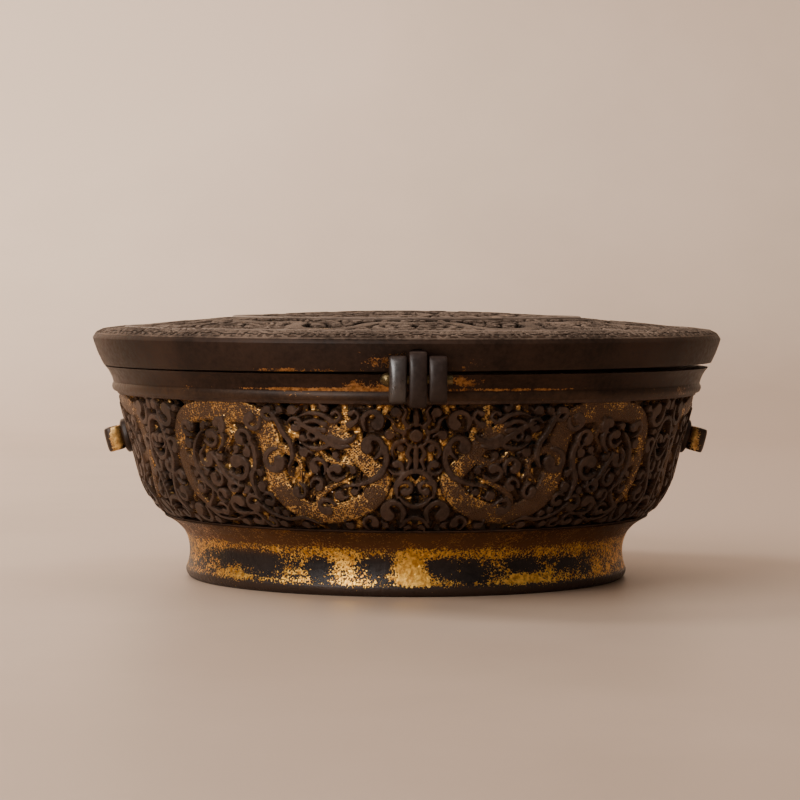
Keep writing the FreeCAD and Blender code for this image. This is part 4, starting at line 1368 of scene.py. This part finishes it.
@dataclass
class Loops:
    """Six loops with barrel-shaped eyes: three of the clasp in front and three of the hinge behind."""

    width: float = 4.85
    pitch: float = 5.4
    pin_y: float = 96.2
    bore: float = 1.42
    barrel: float = 0.17
    worn_barrel: float = 0.34
    squareness: float = 2.4
    steps: int = 64
    stations: int = 15
    shank: float = 2.6
    depth: float = 3.6
    web_share: float = 0.9

    def eye(self, height: float, pin_z: float, barrel: float) -> Shell:
        """An elliptic eye that swells across its width, with its bore.

        At share u of the half width the ellipse's depth is scaled by 1 - b + b (1 - |u|^2.6)^0.5 and its
        height by 1 - 0.3 b + 0.3 b (1 - |u|^6)^0.5. Rings of the surface run from the bore's one end over
        the outside to the other end and back through the bore.

        Args:
            height: half its height.
            pin_z: height of the pin.
            barrel: b, how far the swelling falls off at its ends.

        Returns:
            The closed shell, its middle at x 0.
        """
        turn = np.linspace(0.0, FULL_TURN, self.steps, endpoint=False)
        u = np.sin(np.linspace(-0.5, 0.5, self.stations) * math.pi)
        deep = 1.0 - barrel * (1.0 - np.sqrt(1.0 - np.abs(u) ** 2.6))
        high = 1.0 - 0.3 * barrel * (1.0 - np.sqrt(1.0 - np.abs(u) ** 6))
        x = np.concatenate([[-1.0], u, [1.0]]) * self.width / 2
        reach_y = np.concatenate([[self.bore], self.depth * deep, [self.bore]])
        reach_z = np.concatenate([[self.bore], height * high, [self.bore]])
        power = 2.0 / self.squareness
        y = -self.pin_y + np.outer(reach_y, signed_power(np.cos(turn), power)).ravel()
        z = pin_z + np.outer(reach_z, signed_power(np.sin(turn), power)).ravel()
        return Shell(np.stack([np.repeat(x, turn.size), y, z], -1), sheet(x.size, turn.size))

    def stalk(self, places: Numbers, width: float) -> Shell:
        """A prism across the loop over radii and heights, given anticlockwise from +X."""
        return prism(np.reshape(places, (-1, 2)) * (-1.0, 1.0), -width / 2, width / 2)

    def loop(self, x: float, on_lid: bool, front: bool, height: float, pin_z: float, barrel: float) -> Shell:
        """One loop: its eye, the web that carries it and the shank that goes through the band."""
        reach = self.pin_y - 1.9
        if on_lid:
            web = (reach, 66.0, reach, 70.4, 95.0, 70.4, 93.4, 66.0)
            shank = (reach, 67.9, reach, 70.3, 89.0, 70.3, 89.0, 67.9)
        else:
            web = (reach, 59.3, reach, 63.5, 91.45, 63.5, 89.2, 59.3)
            shank = (reach, 60.3, reach, 62.3, 84.4, 62.3, 84.4, 60.3)
        stalks = self.stalk(web, self.web_share * self.width), self.stalk(shank, self.shank)
        shell = merged([self.eye(height, pin_z, barrel), *stalks])
        shell.vertices[:, 0] += x
        if not front:
            shell.vertices[:, 1] *= -1.0
            shell.triangles = shell.triangles[:, ::-1]
        return shell

    def build(self, material: Material, worn: Material) -> None:
        """Makes the six loops, the clasp's left one in the worn finish."""
        joints = (("clasp", True, 62.4, (6.5, 7.7)), ("hinge", False, 63.9, (3.6, 3.6)))
        for joint, front, pin_z, heights in joints:
            for place, side in enumerate(("left", "centre", "right")):
                on_lid, rubbed = side == "centre", front and side == "left"
                barrel = self.worn_barrel if rubbed else self.barrel
                shell = self.loop((place - 1) * self.pitch, on_lid, front, heights[on_lid], pin_z, barrel)
                name, finish = f"{joint}_loop_{side}", worn if rubbed else material
                piece = make_piece(f"{name}_forged", shell, 32.0)
                dress(piece, finish, "lid" if on_lid else "bowl", "loop_iron", name)


@dataclass
class StrapFittings:
    """On each side a domed boss and a strap loop with soft edges, whose tang goes through the wall."""

    foot_radius: float = 84.38
    foot_z: float = 42.4
    lean_deg: float = 15.0
    boss_radius: float = 5.2
    boss_rim: float = 0.9
    boss_crown: float = 2.3
    near: float = 1.55
    projection: float = 5.4
    width: float = 9.6
    bar: float = 1.4
    height: float = 7.2
    tang_half_girth: float = 1.7
    tang_half_up: float = 1.3
    tang_end: float = -4.25
    steps: int = 72
    section: int = 28
    outline_power: float = 4.5
    section_power: float = 3.2

    def boss(self) -> Shell:
        """A dome on a straight rim, turned about its axis, with its first ring on the wall."""
        rise = np.linspace(0.0, math.pi / 2, 10)[:-1]
        radii = np.concatenate([[self.boss_radius], self.boss_radius * np.cos(rise)])
        outs = np.concatenate([[0.0], self.boss_rim + (self.boss_crown - self.boss_rim) * np.sin(rise)])
        turn = np.linspace(0.0, FULL_TURN, self.steps, endpoint=False)
        flat = np.outer(radii, np.cos(turn)).ravel(), np.outer(radii, np.sin(turn)).ravel()
        rings = np.column_stack([np.repeat(outs, self.steps), *flat])
        poles = np.array([[0.0, 0.0, 0.0], [self.boss_crown, 0.0, 0.0]])
        step = np.arange(self.steps)
        after, last = (step + 1) % self.steps, len(rings) - self.steps
        caps = [
            np.stack([np.full(self.steps, len(rings)), after, step], -1),
            np.stack([np.full(self.steps, len(rings) + 1), step + last, after + last], -1),
        ]
        sides = sheet(len(radii), self.steps, closed_rows=False)[:, ::-1]
        return Shell(np.concatenate([rings, poles]), np.concatenate([sides, *caps]))

    def loop(self) -> Shell:
        """The bar bent round the slot.

        Its middle line and its section are superellipses |p|^n + |q|^n = 1, each given by the signed power
        2/n of the cosine and the sine.

        Returns:
            The closed ring.
        """
        turn = np.linspace(0.0, FULL_TURN, self.steps, endpoint=False)
        spin = np.linspace(0.0, FULL_TURN, self.section, endpoint=False)
        long_half, short_half = (self.width - self.bar) / 2, (self.projection - self.bar) / 2
        power = 2.0 / self.outline_power
        out, girth = signed_power(np.cos(turn), power), signed_power(np.sin(turn), power)
        middle = np.stack([short_half * out, long_half * girth], -1)
        ahead = np.roll(middle, -1, 0) - np.roll(middle, 1, 0)
        normal = np.stack([ahead[:, 1], -ahead[:, 0]], -1) / np.hypot(*ahead.T)[:, None]
        power = 2.0 / self.section_power
        off = 0.5 * self.bar * signed_power(np.cos(spin), power)
        up = 0.5 * self.height * signed_power(np.sin(spin), power)
        flat = middle[:, None, :] + normal[:, None, :] * off[None, :, None]
        out = self.near + 0.5 * self.projection + flat[..., 0]
        vertices = np.stack([out, flat[..., 1], np.broadcast_to(up, out.shape)], -1).reshape(-1, 3)
        return Shell(vertices, sheet(self.steps, self.section))

    def tang(self) -> Shell:
        """The square tang as a block."""
        signs = np.array([(-1, -1), (1, -1), (1, 1), (-1, 1)])
        outline = signs * (self.tang_half_girth, self.tang_half_up)
        return prism(outline, self.tang_end, self.near + 0.5 * self.bar)

    def placed(self, shell: Shell, side: int) -> Shell:
        """Moves a shell from its own axes, out of the wall, along the girth and up, to one side."""
        lean = math.radians(self.lean_deg)
        out, girth, up = shell.vertices.T
        radius = self.foot_radius + out * math.cos(lean) + up * math.sin(lean)
        z = self.foot_z - out * math.sin(lean) + up * math.cos(lean)
        return Shell(np.stack([side * radius, side * girth, z], -1), shell.triangles)

    def build(self, bosses: Material, loops: Material) -> None:
        """Makes the two bosses as one piece and the two loops as another."""
        loop = merged([self.loop(), self.tang()])
        for name, shell, material, slot, node in (
            ("strap_bosses_domed", self.boss(), bosses, "boss_iron", "strap_bosses"),
            ("strap_lugs_forged", loop, loops, "gilt_lug", "strap_lugs"),
        ):
            piece = make_piece(name, merged([self.placed(shell, side) for side in (1, -1)]), 50.0)
            dress(piece, material, "bowl", slot, node)


# Surroundings


@dataclass(frozen=True)
class Lamp:
    """A soft area lamp in metres and watts that looks at a target."""

    name: str
    place: Triple
    target: Triple
    size: float
    power: float
    color: Triple = (1.0, 0.96, 0.92)
    glossy: bool = False
    diffuse: bool = True
    tall: float = 1.0

    def build(self) -> None:
        """Makes the lamp, its height a share of its width."""
        data = bpy.data.lights.new(self.name, "AREA")
        data.shape = "RECTANGLE"
        data.size, data.size_y = self.size, self.size * self.tall
        data.energy, data.color = self.power, self.color
        lamp = bpy.data.objects.new(self.name, data)
        lamp.location = self.place
        lamp.visible_glossy, lamp.visible_diffuse = self.glossy, self.diffuse
        lamp.rotation_euler = (Vector(self.target) - Vector(self.place)).to_track_quat("-Z", "Y").to_euler()
        bpy.context.scene.collection.objects.link(lamp)


@dataclass
class Studio:
    """The floor, the backdrop, the lamps and the camera, in metres."""

    distance: float = 0.86126
    height: float = 0.08771
    yaw_deg: float = 1.84
    pitch_deg: float = 2.305
    roll_deg: float = 0.175
    focal_px: float = 2829.2
    centre_px: float = 406.45
    image_px: float = 800.0
    sensor_mm: float = 36.0
    room_color: Triple = (0.62, 0.54, 0.47)
    room_light: float = 0.33
    paper_shaded: Triple = (0.410, 0.296, 0.220)
    paper_lit: Triple = (0.76, 0.575, 0.437)
    lamps: tuple[Lamp, ...] = (
        Lamp("key", (-0.66, -0.60, 0.88), (0.0, 0.0, 0.04), 0.90, 12.5, glossy=True),
        Lamp("top", (0.10, 0.25, 1.90), (0.0, 0.1, 0.0), 1.6, 20.0),
        Lamp("wash", (-0.9, 0.45, 1.15), (-0.45, 1.1, 0.65), 0.6, 26.0, (1.0, 0.98, 0.96)),
        Lamp(
            "strip", (-0.50, -0.87, 0.35), (0.0, 0.0, 0.05), 0.30, 6.2, glossy=True, diffuse=False, tall=1.6
        ),
    )

    def camera(self) -> None:
        """Sets the camera as the photograph's fit gives it."""
        data = bpy.data.cameras.new("camera")
        data.sensor_width = self.sensor_mm
        data.lens = self.focal_px * self.sensor_mm / self.image_px
        data.shift_x = (self.image_px / 2 - self.centre_px) / self.image_px
        data.clip_start, data.clip_end = 0.01, 50.0
        camera = bpy.data.objects.new("camera", data)
        yaw = math.radians(self.yaw_deg)
        camera.location = (-self.distance * math.sin(yaw), -self.distance * math.cos(yaw), self.height)
        turn = Euler((math.radians(90.0 - self.pitch_deg), 0.0, -yaw)).to_matrix()
        camera.rotation_euler = (turn @ Matrix.Rotation(math.radians(self.roll_deg), 3, "Z")).to_euler()
        bpy.context.scene.collection.objects.link(camera)
        bpy.context.scene.camera = camera

    def build(self) -> None:
        """Makes everything round the case."""
        self.camera()
        for lamp in self.lamps:
            lamp.build()
        world = bpy.data.worlds.new("room")
        world.use_nodes = True
        color, strength = world.node_tree.nodes["Background"].inputs[:2]
        color.default_value, strength.default_value = (*self.room_color, 1.0), self.room_light
        bpy.context.scene.world = world
        self.backdrop()

    def backdrop(self) -> None:
        """A floor that bends up into a wall: a straight run, a quarter circle and a straight rise, its paper
        painted lighter up the wall and towards the left as painted light.
        """
        front, bend, back, top, side = -9.0, 0.35, 1.1, 2.2, 3.0
        turn = np.linspace(0, math.pi / 2, 24)
        y = np.concatenate([[front], back - bend + bend * np.sin(turn), [back]])
        z = np.concatenate([[0.0], bend - bend * np.cos(turn), [top]])
        x = np.linspace(-side, side, 3)
        grid = np.stack([np.repeat(x, y.size), np.tile(y, x.size), np.tile(z, x.size)], -1)
        faces = sheet(x.size, y.size, closed_rows=False, closed_columns=False)
        floor = make_piece("backdrop", Shell(grid / MM, faces))
        material, graph, shader = new_material("Backdrop paper")
        place = graph.place_mm()
        cloud = graph.span(graph.noise(place, 0.007, 7.0, 0.6), 0.3, 0.7, -0.07, 0.07)
        east, north, up = graph.parts(place)
        # Painted light: the paper lightens up the wall and towards the left and darkens towards the right;
        # the cloud is random tone.
        tone = graph.span(north + up, 650.0, 1450.0, 0.0, 0.95) + graph.span(east, -300.0, 300.0, 0.33, -0.18)
        tone = graph.math("ADD", tone, cloud, clamp=True)
        graph.put(shader.inputs["Base Color"], graph.mix(tone, self.paper_shaded, self.paper_lit))
        shader.inputs["Roughness"].default_value = 0.42
        shader.inputs["Specular IOR Level"].default_value = 0.4
        floor.data.materials.append(material)


def finishes() -> dict[str, IronFinish]:
    """The finishes of the case, by short names."""
    plain = {"dark": (0.014, 0.0068, 0.0042), "light": (0.044, 0.0225, 0.0135), "metal": 0.05}
    rust = {"gold_dark": (0.13, 0.052, 0.016), "gold_light": (0.38, 0.185, 0.060), "broken": 0.7}
    loop = {"dark": (0.013, 0.0075, 0.006), "light": (0.034, 0.020, 0.0155), "metal": 0.05}
    return {
        "openwork": OpenworkFinish(
            "Openwork iron", (0.033, 0.019, 0.013), (0.104, 0.062, 0.042), 0.46, 0.1, 0.8, specular=0.18,
            broken=0.6, pit_gold=0.6, body_stain=0.5, gold_dark=(0.27, 0.13, 0.033),
            gold_light=(0.70, 0.42, 0.14),
            gold_roughness=0.3,
        ),
        # The carving's painted shade sets in at shallower depths, so its gaps and walls read darker.
        "carving": OpenworkFinish(
            "Carved lid", (0.034, 0.021, 0.015), (0.172, 0.117, 0.085), 0.55, 0.05, 0.9, specular=0.08,
            shade_from=0.12, shade_to=0.38,
        ),
        "mouth": BandFinish(
            "Mouth iron", roughness=0.38, bump=0.12, gold=0.10, specular=0.1, **plain, **rust,
            patches=(
                Patch(-22.0, 40.0, 59.3, 0.9, 0.46), Patch(22.0, 26.0, 59.3, 0.8, 0.42),
                Patch(-8.5, 13.0, 60.4, 3.8, 0.42), Patch(10.0, 9.0, 61.6, 3.8, 0.44),
            ),
        ),
        "band": BandFinish(
            "Lid band iron", roughness=0.46, bump=0.12, gold=0.10, specular=0.15, **plain, **rust,
            patches=(
                Patch(-22.0, 18.0, 64.6, 1.8, 0.45), Patch(-6.0, 8.0, 67.6, 5.8, 0.42),
                Patch(8.0, 8.0, 66.4, 5.6, 0.26),
            ),
        ),
        "iron": BandFinish(
            "Fillet iron", (0.022, 0.011, 0.006), (0.066, 0.034, 0.018), 0.40, 0.05, bump=0.15, gold=0.24,
            specular=0.16, **rust,
        ),
        # Iron of the lid's rings, painted lighter as a highlight that grazing light puts along them.
        "lid": IronFinish(
            "Lid ring iron with painted highlight", (0.060, 0.040, 0.030), (0.170, 0.118, 0.088), 0.42, 0.1, specular=0.25
        ),
        "loops": IronFinish("Loop iron", roughness=0.34, bump=0.12, specular=0.24, **loop),
        "worn": IronFinish("Worn loop iron", roughness=0.31, bump=0.05, specular=1.0, **loop),
        "foot": FootFinish(
            "Gilt foot", (0.012, 0.009, 0.009), (0.036, 0.026, 0.023), 0.36, 0.15, bump=1.0, gold=0.53,
            broken=2.0,
            specular=0.2, gold_dark=(0.48, 0.20, 0.030), gold_light=(1.0, 0.58, 0.11), gold_roughness=0.42,
            gold_metal=0.92, stain_low=9.5, stain_high=15.0, stain=0.8,
            patches=(
                Patch(-64.0, 22.0, 9.0, 12.0, -0.10), Patch(-42.0, 18.0, 9.2, 4.2, -0.58),
                Patch(-23.5, 5.5, 7.5, 6.0, -0.42), Patch(-15.0, 9.0, 6.4, 9.0, 0.17),
                Patch(-8.6, 4.5, 9.0, 3.8, -0.50), Patch(-0.5, 5.5, 7.0, 8.0, 0.25),
                Patch(6.8, 7.0, 8.3, 3.8, -0.55), Patch(2.0, 6.0, 4.5, 3.0, 0.30),
                Patch(15.0, 5.0, 7.0, 5.0, -0.34), Patch(28.0, 14.0, 4.5, 3.0, 0.16),
                Patch(28.0, 8.0, 8.6, 3.4, -0.40), Patch(44.0, 8.0, 7.6, 4.0, -0.34),
            ),
        ),
        "collar": IronFinish(
            "Gilt collar", (0.034, 0.014, 0.005), (0.105, 0.048, 0.017), 0.45, 0.1, gold=0.33, broken=1.3,
            stain_low=20.0, stain_high=13.0, stain=0.6, specular=0.2, gold_dark=(0.20, 0.075, 0.015),
            gold_light=(0.60, 0.32, 0.09),
        ),
        "lug": LugFinish(
            "Gilt lug", (0.022, 0.012, 0.008), (0.075, 0.044, 0.028), 0.38, 0.2, gold=0.22, broken=0.9,
            specular=0.35, gold_dark=(0.38, 0.18, 0.05), gold_light=(0.92, 0.57, 0.18), gold_metal=0.75,
            patches=(Patch(-90.0, 12.0, 42.0, 7.0, 0.72), Patch(90.0, 12.0, 42.0, 7.0, 0.46)),
        ),
        "boss": IronFinish("Boss iron", roughness=0.42, bump=0.15, specular=0.3, **plain),
        "brass": IronFinish(
            "Dark brass", (0.06, 0.040, 0.016), (0.18, 0.13, 0.06), 0.30, metal=0.9, bump=0.1
        ),
    }


NODE_FINISHES = {
    "foot": ("foot_ring",),
    "collar": ("foot_collar",),
    "iron": ("floor_plate", "wall_fillet", "lug_washers"),
    "mouth": ("mouth_band",),
    "brass": ("hinge_pin", "clasp_pin"),
    "band": ("lid_band",),
    "lid": ("lid_ring_outer", "lid_ring_inner"),
}


def main() -> None:
    """Builds the studio and the case, piece by piece."""
    logging.basicConfig(level=logging.INFO, format="%(message)s")
    Studio().build()
    effects = Effects()
    made = {name: finish.build(effects) for name, finish in finishes().items()}
    Loops().build(made["loops"], made["worn"])
    StrapFittings().build(made["boss"], made["lug"])
    for finish, nodes in NODE_FINISHES.items():
        for node in nodes:
            finish_node(node, made[finish])
    WallOpenwork().build(made["openwork"])
    LidOpenwork().build(made["carving"])


if __name__ == "__main__":
    main()
